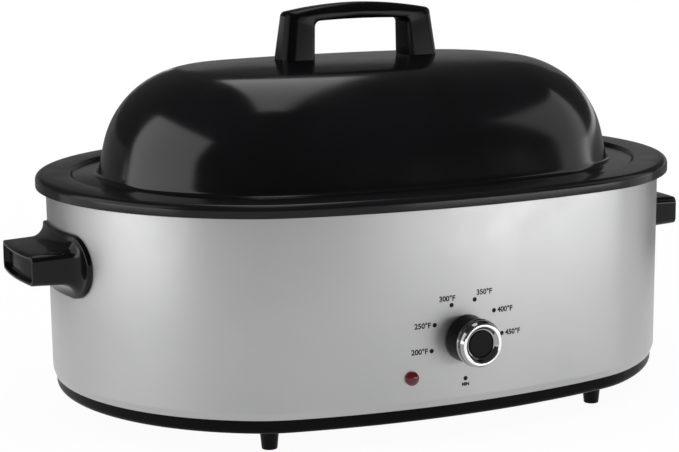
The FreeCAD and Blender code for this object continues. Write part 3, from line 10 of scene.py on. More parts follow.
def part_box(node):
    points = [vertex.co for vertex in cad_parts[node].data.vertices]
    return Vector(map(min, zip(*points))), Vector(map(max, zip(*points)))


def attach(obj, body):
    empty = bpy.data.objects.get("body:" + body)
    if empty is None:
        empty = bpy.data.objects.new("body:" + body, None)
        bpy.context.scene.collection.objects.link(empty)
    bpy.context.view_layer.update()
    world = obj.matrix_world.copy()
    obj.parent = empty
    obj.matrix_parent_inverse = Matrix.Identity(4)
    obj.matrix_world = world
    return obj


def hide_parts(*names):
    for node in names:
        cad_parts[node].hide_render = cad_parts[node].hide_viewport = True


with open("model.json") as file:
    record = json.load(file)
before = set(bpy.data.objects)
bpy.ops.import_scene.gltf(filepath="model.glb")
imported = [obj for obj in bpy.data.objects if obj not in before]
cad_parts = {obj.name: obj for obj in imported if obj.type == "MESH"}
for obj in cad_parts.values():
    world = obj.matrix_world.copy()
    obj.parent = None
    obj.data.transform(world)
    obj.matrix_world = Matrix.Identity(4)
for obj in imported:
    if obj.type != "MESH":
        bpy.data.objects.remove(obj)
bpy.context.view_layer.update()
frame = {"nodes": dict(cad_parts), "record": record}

# -------- sizes read from the frame; lengths are in metres, turns in degrees

RIM_LOW_CORNER, RIM_HIGH_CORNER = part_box("cookwell")
WALL_LOW_CORNER, WALL_HIGH_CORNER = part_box("outer_housing")
LID_LOW_CORNER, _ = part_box("lid_shell")
RING_LOW_CORNER, RING_HIGH_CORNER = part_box("knob_ring")
GRIP_LOW_CORNER, GRIP_HIGH_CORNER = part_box("side_handle_right")
ARCH_LOW_CORNER, ARCH_HIGH_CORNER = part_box("lid_handle")

HALF_LENGTH = (RIM_HIGH_CORNER.x - RIM_LOW_CORNER.x) / 2
HALF_WIDTH = (RIM_HIGH_CORNER.y - RIM_LOW_CORNER.y) / 2
CENTRE_Y = (RIM_HIGH_CORNER.y + RIM_LOW_CORNER.y) / 2
RIM_TOP = RIM_HIGH_CORNER.z
HOUSING_LOW = WALL_LOW_CORNER.z
HOUSING_TOP = WALL_HIGH_CORNER.z
LID_BRIM_LOW = LID_LOW_CORNER.z
DIAL_LEVEL = (RING_LOW_CORNER.z + RING_HIGH_CORNER.z) / 2

# -------- the oval and the pressed sheets

CORNER_RADIUS = 0.104
END_TURN = 61.0         # where the end's bend meets the corner's
SIDE_TURN = 77.3        # where the corner's bend meets the side's
TURN_BLEND = 7.0        # the bend radius changes over this much turn each way
RING_POINTS = 288       # round the oval, a multiple of four
QUARTER_SAMPLES = 721   # of the bend radius over a quarter of the oval
BEND_STEPS = 6          # along each arc of a path
MERGE_DISTANCE = 1e-6   # points closer than this become one

HOUSING_SHEET = 0.0008
HOUSING_TOP_INSET = 0.0080
HOUSING_LOW_INSET = 0.0091
HOUSING_ROLL = 0.0050
HOUSING_ROLL_DEPTH = 0.0017
HOUSING_ROLL_BEND = 0.0070
HOUSING_FLANGE = 0.0150
HOUSING_BEND = 0.0024

RIM_SHEET = 0.0012
RIM_HEIGHT = 0.0095
RIM_BAND = 0.0270
RIM_BEND = 0.0045
LEDGE_DEPTH = 0.0035
LEDGE_STEP = 0.0015
LEDGE_WIDTH = 0.0135
LEDGE_BEND = 0.0015
WELL_DRAFT = 0.0050
WELL_DEPTH = 0.1465
WELL_MOUTH_BEND = 0.0040
WELL_FLOOR_BEND = 0.0260

LID_SHEET = 0.0010
LID_BRIM_PLAY = 0.0008
LID_BRIM_EDGE = 0.0004
LID_FOOT_INSET = 0.0488
LID_FOOT_BEND = 0.0040
LID_WALL_HEIGHT = 0.0236
LID_WALL_TURN = 12.6
LID_SHOULDER_RADIUS = 0.0768
LID_SHOULDER_TURN = 82.8
LID_CROWN_RADIUS = 0.5090
LID_CROWN_TURN = 88.6
LID_WALL_STEPS = 4
LID_SHOULDER_STEPS = 20
LID_CROWN_STEPS = 8


def eased(share):
    """Smooth step from 0 to 1."""
    share = np.clip(share, 0.0, 1.0)
    return share * share * (3.0 - 2.0 * share)


def bend_radii(half_length, half_width, corner):
    """End and side radii of the oval that meets both half sizes with that corner radius."""
    c1, s1 = math.cos(math.radians(END_TURN)), math.sin(math.radians(END_TURN))
    c2, s2 = math.cos(math.radians(SIDE_TURN)), math.sin(math.radians(SIDE_TURN))
    along = half_length - corner * (c1 - c2)
    across = half_width - corner * (s2 - s1)
    scale = (1 - c1) * (1 - s2) - c2 * s1
    return (along * (1 - s2) - c2 * across) / scale, ((1 - c1) * across - s1 * along) / scale


def oval_ring(half_length, half_width, corner):
    """Points round an oval whose bend radius changes smoothly, anticlockwise from +X."""
    end, side = bend_radii(half_length, half_width, corner)
    degrees = np.linspace(0.0, 90.0, QUARTER_SAMPLES)
    radius = end + (corner - end) * eased((degrees - END_TURN + TURN_BLEND) / (2 * TURN_BLEND))
    radius = radius + (side - corner) * eased((degrees - SIDE_TURN + TURN_BLEND) / (2 * TURN_BLEND))
    turn = np.radians(degrees)
    middle = (turn[1:] + turn[:-1]) / 2
    steps = (radius[1:] + radius[:-1]) / 2 * np.diff(turn)
    along = np.concatenate([[0.0], np.cumsum(steps * np.sin(middle))])
    across = np.concatenate([[0.0], np.cumsum(steps * np.cos(middle))])
    x = half_length * (1.0 - along / along[-1])
    y = half_width * across / across[-1]
    travel = np.concatenate([[0.0], np.cumsum(np.hypot(np.diff(x), np.diff(y)))])
    even = np.linspace(0.0, travel[-1], RING_POINTS // 4 + 1)
    quarter = np.column_stack([np.interp(even, travel, x), np.interp(even, travel, y)])
    back = quarter[::-1][1:]
    half = np.vstack([quarter, back * (-1, 1)])
    return np.vstack([half, half[::-1][1:-1] * (1, -1)])


def inset_ring(inset, level):
    """Ring of the plan oval at an inset and a level, in place."""
    plan = oval_ring(HALF_LENGTH - inset, HALF_WIDTH - inset, CORNER_RADIUS - inset)
    return [(x, y + CENTRE_Y, level) for x, y in plan]


def rounded_path(corners):
    """Points (inset, level) along straight runs and tangent arcs.

    Each corner holds (inset, level, radius of its arc)."""
    points = []
    for index, (x, y, radius) in enumerate(corners):
        here = Vector((x, y))
        if radius <= 0 or index in (0, len(corners) - 1):
            points.append(here)
            continue
        back = (Vector(corners[index - 1][:2]) - here).normalized()
        ahead = (Vector(corners[index + 1][:2]) - here).normalized()
        half = back.angle(ahead) / 2
        centre = here + (back + ahead).normalized() * (radius / math.sin(half))
        start = here + back * (radius / math.tan(half)) - centre
        end = here + ahead * (radius / math.tan(half)) - centre
        sweep = start.angle_signed(end)
        for step in range(BEND_STEPS + 1):
            spoke = start.copy()
            spoke.rotate(Matrix.Rotation(-sweep * step / BEND_STEPS, 2))
            points.append(centre + spoke)
    return points


def offset_path(points, distance):
    """The same points moved to the path's right."""
    moved = []
    for index, here in enumerate(points):
        before = points[max(index - 1, 0)]
        after = points[min(index + 1, len(points) - 1)]
        along = (after - before).normalized()
        moved.append(here + Vector((along.y, -along.x)) * distance)
    return moved


# -------- making pieces

def finish_piece(name, mesh, body, material, stands_for=(), sharp=35.0):
    """Shades a mesh, sharp beyond an angle, gives it its material and joins it to its body."""
    mesh.materials.clear()
    mesh.materials.append(material)
    for face in mesh.polygons:
        face.use_smooth = True
    mesh.set_sharp_from_angle(angle=math.radians(sharp))
    piece = bpy.data.objects.new(name, mesh)
    bpy.context.scene.collection.objects.link(piece)
    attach(piece, body)
    if stands_for:
        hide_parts(*stands_for)


def mesh_from(name, points, faces):
    """Mesh with its doubles merged and its faces pointing outwards."""
    mesh = bpy.data.meshes.new(name)
    mesh.from_pydata([tuple(p) for p in points], [], faces)
    return cleaned(mesh)


def cleaned(mesh):
    """The same mesh with its doubles merged and its faces pointing outwards."""
    work = bmesh.new()
    work.from_mesh(mesh)
    bmesh.ops.remove_doubles(work, verts=work.verts, dist=MERGE_DISTANCE)
    bmesh.ops.recalc_face_normals(work, faces=work.faces)
    work.to_mesh(mesh)
    work.free()
    return mesh


def rings_mesh(name, rings, looped=False, caps=()):
    """Mesh through rings of equal length.

    Looped joins the last ring to the first, and caps close the first or last."""
    count = len(rings[0])
    points = [p for ring in rings for p in ring]
    faces = []
    spans = len(rings) if looped else len(rings) - 1
    for k in range(spans):
        a = k * count
        b = ((k + 1) % len(rings)) * count
        for i in range(count):
            j = (i + 1) % count
            faces.append((a + i, a + j, b + j, b + i))
    for end in caps:
        base = 0 if end == "first" else (len(rings) - 1) * count
        centre = sum((Vector(points[base + i]) for i in range(count)), Vector()) / count
        points.append(tuple(centre))
        hub = len(points) - 1
        for i in range(count):
            faces.append((base + i, base + (i + 1) % count, hub))
    return mesh_from(name, points, faces)


def sheet_mesh(name, path, thickness):
    """Pressed sheet that closes over the middle.

    One skin follows the path of (inset, level) and the other lies to its right."""
    skin = [inset_ring(p.x, p.y) for p in path]
    back = [inset_ring(p.x, p.y) for p in offset_path(path, thickness)]
    return rings_mesh(name, back[::-1] + skin, caps=("first", "last"))


def closed_wire(name, points):
    """Mesh of edges through points, back to the first."""
    mesh = bpy.data.meshes.new(name)
    edges = [(k, (k + 1) % len(points)) for k in range(len(points))]
    mesh.from_pydata([tuple(p) for p in points], edges, [])
    return mesh


def unit_circle(count):
    """Cosine and sine of even turns round a circle."""
    turns = [2 * math.pi * k / count for k in range(count)]
    return [(math.cos(turn), math.sin(turn)) for turn in turns]


def quarter_turn(steps, first=1):
    """Sine and cosine of even steps up to a right angle."""
    turns = [math.radians(90 * step / steps) for step in range(first, steps + 1)]
    return [(math.sin(turn), math.cos(turn)) for turn in turns]


def plain_mesh(item):
    """Plain mesh of an object as Blender evaluates it."""
    bpy.context.view_layer.update()
    depsgraph = bpy.context.evaluated_depsgraph_get()
    return bpy.data.meshes.new_from_object(item.evaluated_get(depsgraph))


# -------- node trees

def node_tree(name, **kinds):
    """Geometry Nodes tree with its named inputs of the given kinds and its geometry result."""
    tree = bpy.data.node_groups.new(name, "GeometryNodeTree")
    tree.interface.new_socket("Geometry", in_out="OUTPUT", socket_type="NodeSocketGeometry")
    for key, kind in {"Geometry": "Geometry", **kinds}.items():
        tree.interface.new_socket(key.replace("_", " "), in_out="INPUT",
                                  socket_type="NodeSocket" + kind)
    given = tree.nodes.new("NodeGroupInput").outputs
    result = tree.nodes.new("NodeGroupOutput").inputs["Geometry"]
    return tree, given, result


def add_node(tree, kind, given=None, **settings):
    """Node of a kind with its settings; given maps its inputs to sockets or values."""
    node = tree.nodes.new(kind)
    for key, value in settings.items():
        setattr(node, key, value)
    for key, value in (given or {}).items():
        if isinstance(value, bpy.types.NodeSocket):
            tree.links.new(value, node.inputs[key])
        else:
            node.inputs[key].default_value = value
    return node


def maths(tree, operation, *values):
    """Result of one arithmetic step on sockets or numbers."""
    step = add_node(tree, "ShaderNodeMath", dict(enumerate(values)), operation=operation)
    return step.outputs["Value"]


def finish_tree(tree, geometry, material, result):
    """Ends a tree: its instances become real and get their material."""
    whole = add_node(tree, "GeometryNodeRealizeInstances", {"Geometry": geometry})
    finished = add_node(tree, "GeometryNodeSetMaterial", {
        "Geometry": whole.outputs["Geometry"], "Material": material})
    tree.links.new(finished.outputs["Geometry"], result)


def grown_mesh(name, tree, start, **values):
    """Plain mesh that a node tree makes from a starting mesh and its named inputs."""
    carrier = bpy.data.objects.new(name, start)
    bpy.context.scene.collection.objects.link(carrier)
    modifier = carrier.modifiers.new(name, "NODES")
    modifier.node_group = tree
    for socket in tree.interface.items_tree:
        key = socket.name.replace(" ", "_")
        if socket.in_out == "INPUT" and key in values:
            modifier[socket.identifier] = values[key]
    mesh = plain_mesh(carrier)
    carrier.modifiers.remove(modifier)
    bpy.data.objects.remove(carrier)
    return cleaned(mesh)


def swept_sheet_tree():
    """Carries a closed section round a closed route, upright all the way."""
    tree, given, result = node_tree("swept_sheet", Section="Object", Finish="Material")
    route = add_node(tree, "GeometryNodeMeshToCurve", {"Mesh": given["Geometry"]})
    upright = add_node(tree, "GeometryNodeSetCurveNormal", {"Curve": route.outputs["Curve"]},
                       mode="Z_UP")
    drawn = add_node(tree, "GeometryNodeObjectInfo", {"Object": given["Section"]})
    section = add_node(tree, "GeometryNodeMeshToCurve", {"Mesh": drawn.outputs["Geometry"]})
    sheet = add_node(tree, "GeometryNodeCurveToMesh", {
        "Curve": upright.outputs["Curve"], "Profile Curve": section.outputs["Curve"]})
    finish_tree(tree, sheet.outputs["Mesh"], given["Finish"], result)
    return tree


def dot_row_tree():
    """Discs spaced evenly round a circle in the plane of x and y."""
    tree, given, result = node_tree(
        "dot_row", Count="Int", Circle_radius="Float", First_turn="Float", Step_turn="Float",
        Dot_radius="Float", Thickness="Float", Finish="Material")
    index = add_node(tree, "GeometryNodeInputIndex").outputs["Index"]
    turn = maths(tree, "MULTIPLY_ADD", index, given["Step turn"], given["First turn"])
    place = add_node(tree, "ShaderNodeCombineXYZ", {
        "X": maths(tree, "MULTIPLY", maths(tree, "COSINE", turn), given["Circle radius"]),
        "Y": maths(tree, "MULTIPLY", maths(tree, "SINE", turn), given["Circle radius"])})
    places = add_node(tree, "GeometryNodePoints", {
        "Count": given["Count"], "Position": place.outputs["Vector"]})
    disc = add_node(tree, "GeometryNodeMeshCylinder", {
        "Vertices": DOT_SIDES, "Radius": given["Dot radius"], "Depth": given["Thickness"]})
    row = add_node(tree, "GeometryNodeInstanceOnPoints", {
        "Points": places.outputs[0], "Instance": disc.outputs["Mesh"]})
    finish_tree(tree, row.outputs["Instances"], given["Finish"], result)
    return tree


def swept_sheet(name, path, thickness, material):
    """Pressed sheet with free edges, swept round the rim's oval along a path of (inset, level).

    A swept section's x points outwards and its y down, so insets and levels change sign."""
    outline = path + offset_path(path, thickness)[::-1]
    drawn = closed_wire(name, [(-p.x, -p.y, 0.0) for p in outline])
    section = bpy.data.objects.new(name, drawn)
    bpy.context.scene.collection.objects.link(section)
    mesh = grown_mesh(name, swept_sheet_tree(), closed_wire(name, inset_ring(0.0, 0.0)),
                      Section=section, Finish=material)
    bpy.data.objects.remove(section)
    return mesh


# -------- materials

def new_material(name):
    """Material with its node tree and its Principled shader."""
    material = bpy.data.materials.new(name)
    material.use_nodes = True
    tree = material.node_tree
    shader = tree.nodes["Principled BSDF"]
    return material, tree, shader


def set_inputs(shader, **values):
    """Sets shader sockets by name, with _ for a space."""
    for key, value in values.items():
        shader.inputs[key.replace("_", " ")].default_value = value


NOISE_LOW, NOISE_HIGH = 0.3, 0.7    # a noise seldom leaves this range
COLOUR_CLOUD = 9.0                  # scales of the noises, per metre
ROUGHNESS_CLOUD = 36.0
GRAIN_DETAIL = 3.0


def object_noise(tree, scale, detail=2.0):
    """Noise on object coordinates."""
    place = add_node(tree, "ShaderNodeTexCoord").outputs["Object"]
    noise = add_node(tree, "ShaderNodeTexNoise", {
        "Vector": place, "Scale": scale, "Detail": detail})
    return noise.outputs["Fac"]


def ramp(tree, source, low, high):
    """Colour between two colours, by a noise."""
    node = add_node(tree, "ShaderNodeValToRGB", {"Fac": source})
    ends = ((NOISE_LOW, low), (NOISE_HIGH, high))
    for element, (place, colour) in zip(node.color_ramp.elements, ends):
        element.position = place
        element.color = (*colour, 1)
    return node.outputs["Color"]


def spread(tree, source, low, high):
    """Number between two numbers, by a noise."""
    node = add_node(tree, "ShaderNodeMapRange", {
        "Value": source, "From Min": NOISE_LOW, "From Max": NOISE_HIGH,
        "To Min": low, "To Max": high})
    return node.outputs["Result"]


def coated(name, low, high, roughness, grain=900.0, relief=0.00002, **values):
    """Finish with clouded colour, varied roughness and a fine grain."""
    material, tree, shader = new_material(name)
    set_inputs(shader, **values)
    colour = ramp(tree, object_noise(tree, COLOUR_CLOUD), low, high)
    rough = spread(tree, object_noise(tree, ROUGHNESS_CLOUD), *roughness)
    bump = add_node(tree, "ShaderNodeBump", {
        "Height": object_noise(tree, grain, GRAIN_DETAIL), "Distance": relief, "Strength": 1.0})
    tree.links.new(colour, shader.inputs["Base Color"])
    tree.links.new(rough, shader.inputs["Roughness"])
    tree.links.new(bump.outputs["Normal"], shader.inputs["Normal"])
    return material


def paint_crest_highlight(material, centre, radius, half_width, bright):
    """Painted highlight: a brighter base colour on a ring's crest, at a radius about an axis along
    Y, standing in for the lamps' glint all round it.
    """
    tree = material.node_tree
    base = tree.nodes["Principled BSDF"].inputs["Base Color"]
    plain = base.links[0].from_socket
    place = add_node(tree, "ShaderNodeTexCoord").outputs["Object"]
    spoke = add_node(tree, "ShaderNodeVectorMath", {0: place, 1: centre}, operation="SUBTRACT")
    flat = add_node(tree, "ShaderNodeVectorMath", {0: spoke.outputs["Vector"], 1: (1, 0, 1)},
                    operation="MULTIPLY")
    length = add_node(tree, "ShaderNodeVectorMath", {0: flat.outputs["Vector"]},
                      operation="LENGTH")
    near = maths(tree, "COMPARE", length.outputs["Value"], radius, half_width)
    mix = add_node(tree, "ShaderNodeMix", {"Factor": near, "A": plain, "B": (*bright, 1)},
                   data_type="RGBA")
    tree.links.new(mix.outputs["Result"], base)


silver_paint = coated("silver_paint", (0.395, 0.396, 0.398), (0.435, 0.435, 0.435), (0.36, 0.42),
                      grain=2600.0, Metallic=0.85)
lid_enamel = coated("lid_enamel", (0.003, 0.003, 0.0035), (0.005, 0.005, 0.006), (0.13, 0.17),
                    grain=60.0, IOR=1.45)
well_enamel = coated("well_enamel", (0.005, 0.005, 0.0055), (0.009, 0.009, 0.010), (0.16, 0.22),
                     grain=90.0, Specular_IOR_Level=0.20)
base_black = coated("base_black", (0.005, 0.005, 0.0055), (0.008, 0.008, 0.009), (0.30, 0.38),
                    Specular_IOR_Level=0.03)
handle_black = coated("handle_black", (0.003, 0.003, 0.0033), (0.005, 0.005, 0.0055), (0.12, 0.18),
                      Specular_IOR_Level=0.20)
arch_black = coated("arch_black", (0.003, 0.003, 0.0033), (0.005, 0.005, 0.0055), (0.12, 0.18),
                    Specular_IOR_Level=0.08)
knob_black = coated("knob_black", (0.004, 0.004, 0.0043), (0.007, 0.007, 0.0075), (0.22, 0.30),
                    Specular_IOR_Level=0.12)
knob_chrome = coated("knob_chrome", (0.30, 0.30, 0.31), (0.35, 0.35, 0.36), (0.05, 0.09),
                     Metallic=1.0)
red_lens = coated("red_lens", (0.11, 0.008, 0.014), (0.15, 0.012, 0.019), (0.06, 0.10),
                  Specular_IOR_Level=0.3, Coat_Weight=0.2)
foot_rubber = coated("foot_rubber", (0.004, 0.004, 0.0043), (0.007, 0.007, 0.0075), (0.35, 0.45),
                     Specular_IOR_Level=0.08)
zinc_steel = coated("zinc_steel", (0.45, 0.45, 0.46), (0.60, 0.60, 0.58), (0.25, 0.40),
                    Metallic=1.0)
liner_aluminium = coated("liner_aluminium", (0.55, 0.56, 0.57), (0.68, 0.69, 0.70), (0.40, 0.52),
                         Metallic=0.7)
heater_foil = coated("heater_foil", (0.55, 0.55, 0.56), (0.72, 0.72, 0.73), (0.2, 0.4),
                     Metallic=1.0)
fibre_blanket = coated("fibre_blanket", (0.60, 0.57, 0.48), (0.78, 0.75, 0.66), (0.8, 0.95),
                       relief=0.0006)
thermostat_resin = coated("thermostat_resin", (0.05, 0.03, 0.02), (0.08, 0.05, 0.035), (0.35, 0.45))
copper = coated("copper", (0.55, 0.26, 0.15), (0.66, 0.34, 0.20), (0.2, 0.32), Metallic=1.0)
lamp_glass = coated("lamp_glass", (0.8, 0.5, 0.35), (0.9, 0.6, 0.45), (0.05, 0.1),
                    Transmission_Weight=0.7)
terminal_nylon = coated("terminal_nylon", (0.70, 0.68, 0.60), (0.78, 0.76, 0.70), (0.4, 0.5))
lead_sleeve = coated("lead_sleeve", (0.60, 0.58, 0.50), (0.70, 0.68, 0.60), (0.5, 0.6))
rack_steel = coated("rack_steel", (0.55, 0.55, 0.56), (0.64, 0.64, 0.65), (0.14, 0.22),
                    Metallic=1.0)
print_black = coated("print_black", (0.006, 0.006, 0.006), (0.010, 0.010, 0.010), (0.5, 0.6),
                     Specular_IOR_Level=0.15)
flag_grey = coated("flag_grey", (0.22, 0.22, 0.22), (0.25, 0.25, 0.25), (0.85, 0.95),
                   Specular_IOR_Level=0.0)

FINISHES = {
    "silver_paint": silver_paint, "lid_enamel": lid_enamel, "well_enamel": well_enamel,
    "base_black": base_black, "handle_black": handle_black, "knob_black": knob_black,
    "knob_chrome": knob_chrome, "red_lens": red_lens, "foot_rubber": foot_rubber,
    "zinc_steel": zinc_steel, "liner_aluminium": liner_aluminium, "heater_foil": heater_foil,
    "fibre_blanket": fibre_blanket, "thermostat_resin": thermostat_resin, "copper": copper,
    "lamp_glass": lamp_glass, "terminal_nylon": terminal_nylon, "lead_sleeve": lead_sleeve,
    "rack_steel": rack_steel,
}


def dress_frame():
    """Gives every carried-over node the finish of its slot."""
    for part in frame["record"]["subparts"]:
        node = frame["nodes"][part["node"]]
        for place in node.material_slots:
            place.material = FINISHES[part["material_slot"]]


# -------- housing, cookwell and lid

def make_housing():
    """Painted wrap with its rolled lower edge and top flange."""
    path = rounded_path([
        (HOUSING_LOW_INSET + HOUSING_ROLL_DEPTH, HOUSING_LOW, 0),
        (HOUSING_LOW_INSET, HOUSING_LOW + HOUSING_ROLL, HOUSING_ROLL_BEND),
        (HOUSING_TOP_INSET, HOUSING_TOP, HOUSING_BEND),
        (HOUSING_TOP_INSET + HOUSING_FLANGE, HOUSING_TOP, 0)])
    mesh = swept_sheet("housing_wrap", path, HOUSING_SHEET, silver_paint)
    finish_piece("housing_wrap", mesh, "base", silver_paint, ["outer_housing"])


def make_cookwell():
    """Enamelled pan: rolled rim, recessed ledge, drafted wall and flat floor."""
    ledge_top = RIM_TOP - LEDGE_DEPTH
    floor = ledge_top - WELL_DEPTH
    mouth = RIM_BAND + LEDGE_STEP + LEDGE_WIDTH
    flat = mouth + WELL_DRAFT + WELL_FLOOR_BEND
    path = rounded_path([
        (0, RIM_TOP - RIM_HEIGHT, 0), (0, RIM_TOP, RIM_BEND), (RIM_BAND, RIM_TOP, LEDGE_BEND),
        (RIM_BAND + LEDGE_STEP, ledge_top, LEDGE_BEND), (mouth, ledge_top, WELL_MOUTH_BEND),
        (mouth + WELL_DRAFT, floor, WELL_FLOOR_BEND), (flat, floor, 0)])
    mesh = sheet_mesh("cookwell_pan", path, RIM_SHEET)
    finish_piece("cookwell_pan", mesh, "cookwell", well_enamel, ["cookwell"])


def lid_path():
    """(inset, level, slope) of the dome from the brim's level to the handle's pad."""
    brim_top = LID_BRIM_LOW + LID_SHEET
    lean = math.tan(math.radians(LID_WALL_TURN))
    points = []
    for step in range(1, LID_WALL_STEPS + 1):
        rise = LID_WALL_HEIGHT * step / LID_WALL_STEPS
        points.append((LID_FOOT_INSET + rise * lean, brim_top + rise, LID_WALL_TURN))
    shoulder = (LID_SHOULDER_RADIUS, LID_WALL_TURN, LID_SHOULDER_TURN, LID_SHOULDER_STEPS)
    crown = (LID_CROWN_RADIUS, LID_SHOULDER_TURN, LID_CROWN_TURN, LID_CROWN_STEPS)
    for radius, first, last, steps in (shoulder, crown):
        inset, level, _ = points[-1]
        for step in range(1, steps + 1):
            turn = first + (last - first) * step / steps
            run = math.cos(math.radians(first)) - math.cos(math.radians(turn))
            rise = math.sin(math.radians(turn)) - math.sin(math.radians(first))
            points.append((inset + radius * run, level + radius * rise, turn))
    return points


def dome_ring(inset, level, turn, shrink):
    """Ring of the dome, its corners rounder towards the top; shrink moves it in by a sheet."""
    share = (CORNER_RADIUS - LID_FOOT_INSET) / (HALF_WIDTH - LID_FOOT_INSET)
    moved = inset + shrink * math.cos(math.radians(turn))
    corner = share * (HALF_WIDTH - inset) - (moved - inset)
    plan = oval_ring(HALF_LENGTH - moved, HALF_WIDTH - moved, corner)
    drop = shrink * math.sin(math.radians(turn))
    return [(x, y + CENTRE_Y, level - drop) for x, y in plan]


def make_lid():
    """Domed lid with its flat brim."""
    brim_top = LID_BRIM_LOW + LID_SHEET
    outer_edge = RIM_BAND + LEDGE_STEP + LID_BRIM_PLAY
    stations = lid_path()
    join_inset, join_level, _ = stations[0]
    brim = rounded_path([
        (outer_edge, LID_BRIM_LOW, 0), (outer_edge, brim_top, LID_BRIM_EDGE),
        (LID_FOOT_INSET, brim_top, LID_FOOT_BEND), (join_inset, join_level, 0)])[:-1]
    under = rounded_path([
        (outer_edge, LID_BRIM_LOW, 0),
        (LID_FOOT_INSET + LID_SHEET, LID_BRIM_LOW, LID_FOOT_BEND + LID_SHEET),
        (join_inset + LID_SHEET, join_level, 0)])[:-1]
    outside = [inset_ring(p.x, p.y) for p in brim]
    outside += [dome_ring(*station, 0.0) for station in stations]
    inside = [inset_ring(p.x, p.y) for p in under[1:]]
    inside += [dome_ring(*station, LID_SHEET) for station in stations]
    mesh = rings_mesh("lid_dome", inside[::-1] + outside, caps=("first", "last"))
    finish_piece("lid_dome", mesh, "lid", lid_enamel, ["lid_shell"])


# -------- side handles

HANDLE_REACH = 0.0350
HANDLE_WIDTH = 0.0840
HANDLE_THICKNESS = 0.0246
HANDLE_CORNER = 0.0050
HANDLE_TAPER = 0.0008
HANDLE_BOW_RADIUS = 0.2450
HANDLE_END_ROUND = 0.0010
FLANGE_WIDTH = 0.1150
FLANGE_HEIGHT = 0.0488
FLANGE_THICKNESS = 0.0034
FLANGE_CORNER = 0.0234
FLANGE_FILLET = 0.0102
FLANGE_EDGE = 0.0012
RECESS_DEPTH = 0.0045
RECESS_WALL = 0.0028
RECESS_TAPER = 0.0005
RECESS_CORNER = 0.0032
RECESS_LIP = 0.0006
HANDLE_GAP = 0.00015
RECESS_FLOOR_SHARES = (0.75, 0.5, 0.25, 0.06)   # of its size, towards its middle
HANDLE_LEVEL = (GRIP_LOW_CORNER.z + GRIP_HIGH_CORNER.z) / 2

EDGE_STEPS = 4          # loops round an edge, across the flange and so on
FLANGE_STEPS = 5
FILLET_STEPS = 12
GRIP_STEPS = 4
RECESS_STEPS = 5
TURN_POINTS = 12        # of a loop, on each corner, long side and short side
LONG_POINTS = 14
SHORT_POINTS = 5

END_RADIUS, SIDE_RADIUS = bend_radii(HALF_LENGTH, HALF_WIDTH, CORNER_RADIUS)


def housing_inset(level):
    """Inset of the housing's outer skin at a level on its wall."""
    share = (level - HOUSING_LOW - HOUSING_ROLL) / (HOUSING_TOP - HOUSING_LOW - HOUSING_ROLL)
    return HOUSING_LOW_INSET + (HOUSING_TOP_INSET - HOUSING_LOW_INSET) * share


def end_reach(inset, y):
    """X of the oval's end at an inset, off the centre line."""
    return HALF_LENGTH - END_RADIUS + math.sqrt((END_RADIUS - inset) ** 2 - y ** 2)


def front_at(x, level):
    """Y of the housing's outer skin at the front, off the centre line."""
    reach = SIDE_RADIUS - housing_inset(level)
    return CENTRE_Y + SIDE_RADIUS - HALF_WIDTH - math.sqrt(reach ** 2 - x ** 2)


def rounded_outline(half_width, half_height, corner):
    """Points round a rounded rectangle, the same count whatever its size."""
    flat_w, flat_h = half_width - corner, half_height - corner
    centres = ((flat_w, flat_h), (-flat_w, flat_h), (-flat_w, -flat_h), (flat_w, -flat_h))
    points = []
    for quarter, (cx, cy) in enumerate(centres):
        for step in range(TURN_POINTS):
            angle = math.radians(90 * quarter + 90 * step / TURN_POINTS)
            points.append((cx + corner * math.cos(angle), cy + corner * math.sin(angle)))
        along = quarter % 2 == 0
        span = flat_w if along else flat_h
        steps = LONG_POINTS if along else SHORT_POINTS
        sign = 1 if quarter in (0, 3) else -1
        for step in range(steps):
            move = span - 2 * span * step / steps
            if along:
                points.append((sign * move, cy + math.copysign(corner, cy)))
            else:
                points.append((cx + math.copysign(corner, cx), -sign * move))
    return points


def handle_loop(half_width, half_height, corner, place):
    """Loop round the handle's axis; place gives each point's X from its (y, z)."""
    return [(place(y, z), y + CENTRE_Y, z + HANDLE_LEVEL)
            for y, z in rounded_outline(half_width, half_height, corner)]


def flange_skin(lift):
    """X of a surface that lies off the housing's end by a lift, for (y, z) from the axis."""
    return lambda y, z: end_reach(housing_inset(z + HANDLE_LEVEL) - lift, y)


def grip_end(short):
    """X of the grip's bowed outer end, cut short, for (y, z) from the axis."""
    tip = HALF_LENGTH - housing_inset(HANDLE_LEVEL) + HANDLE_REACH - short
    return lambda y, z: tip - HANDLE_BOW_RADIUS + math.sqrt(HANDLE_BOW_RADIUS ** 2 - y ** 2)


def part_way(first, last, share):
    """X that lies a share of the way from one surface to another."""
    return lambda y, z: first(y, z) + (last(y, z) - first(y, z)) * share


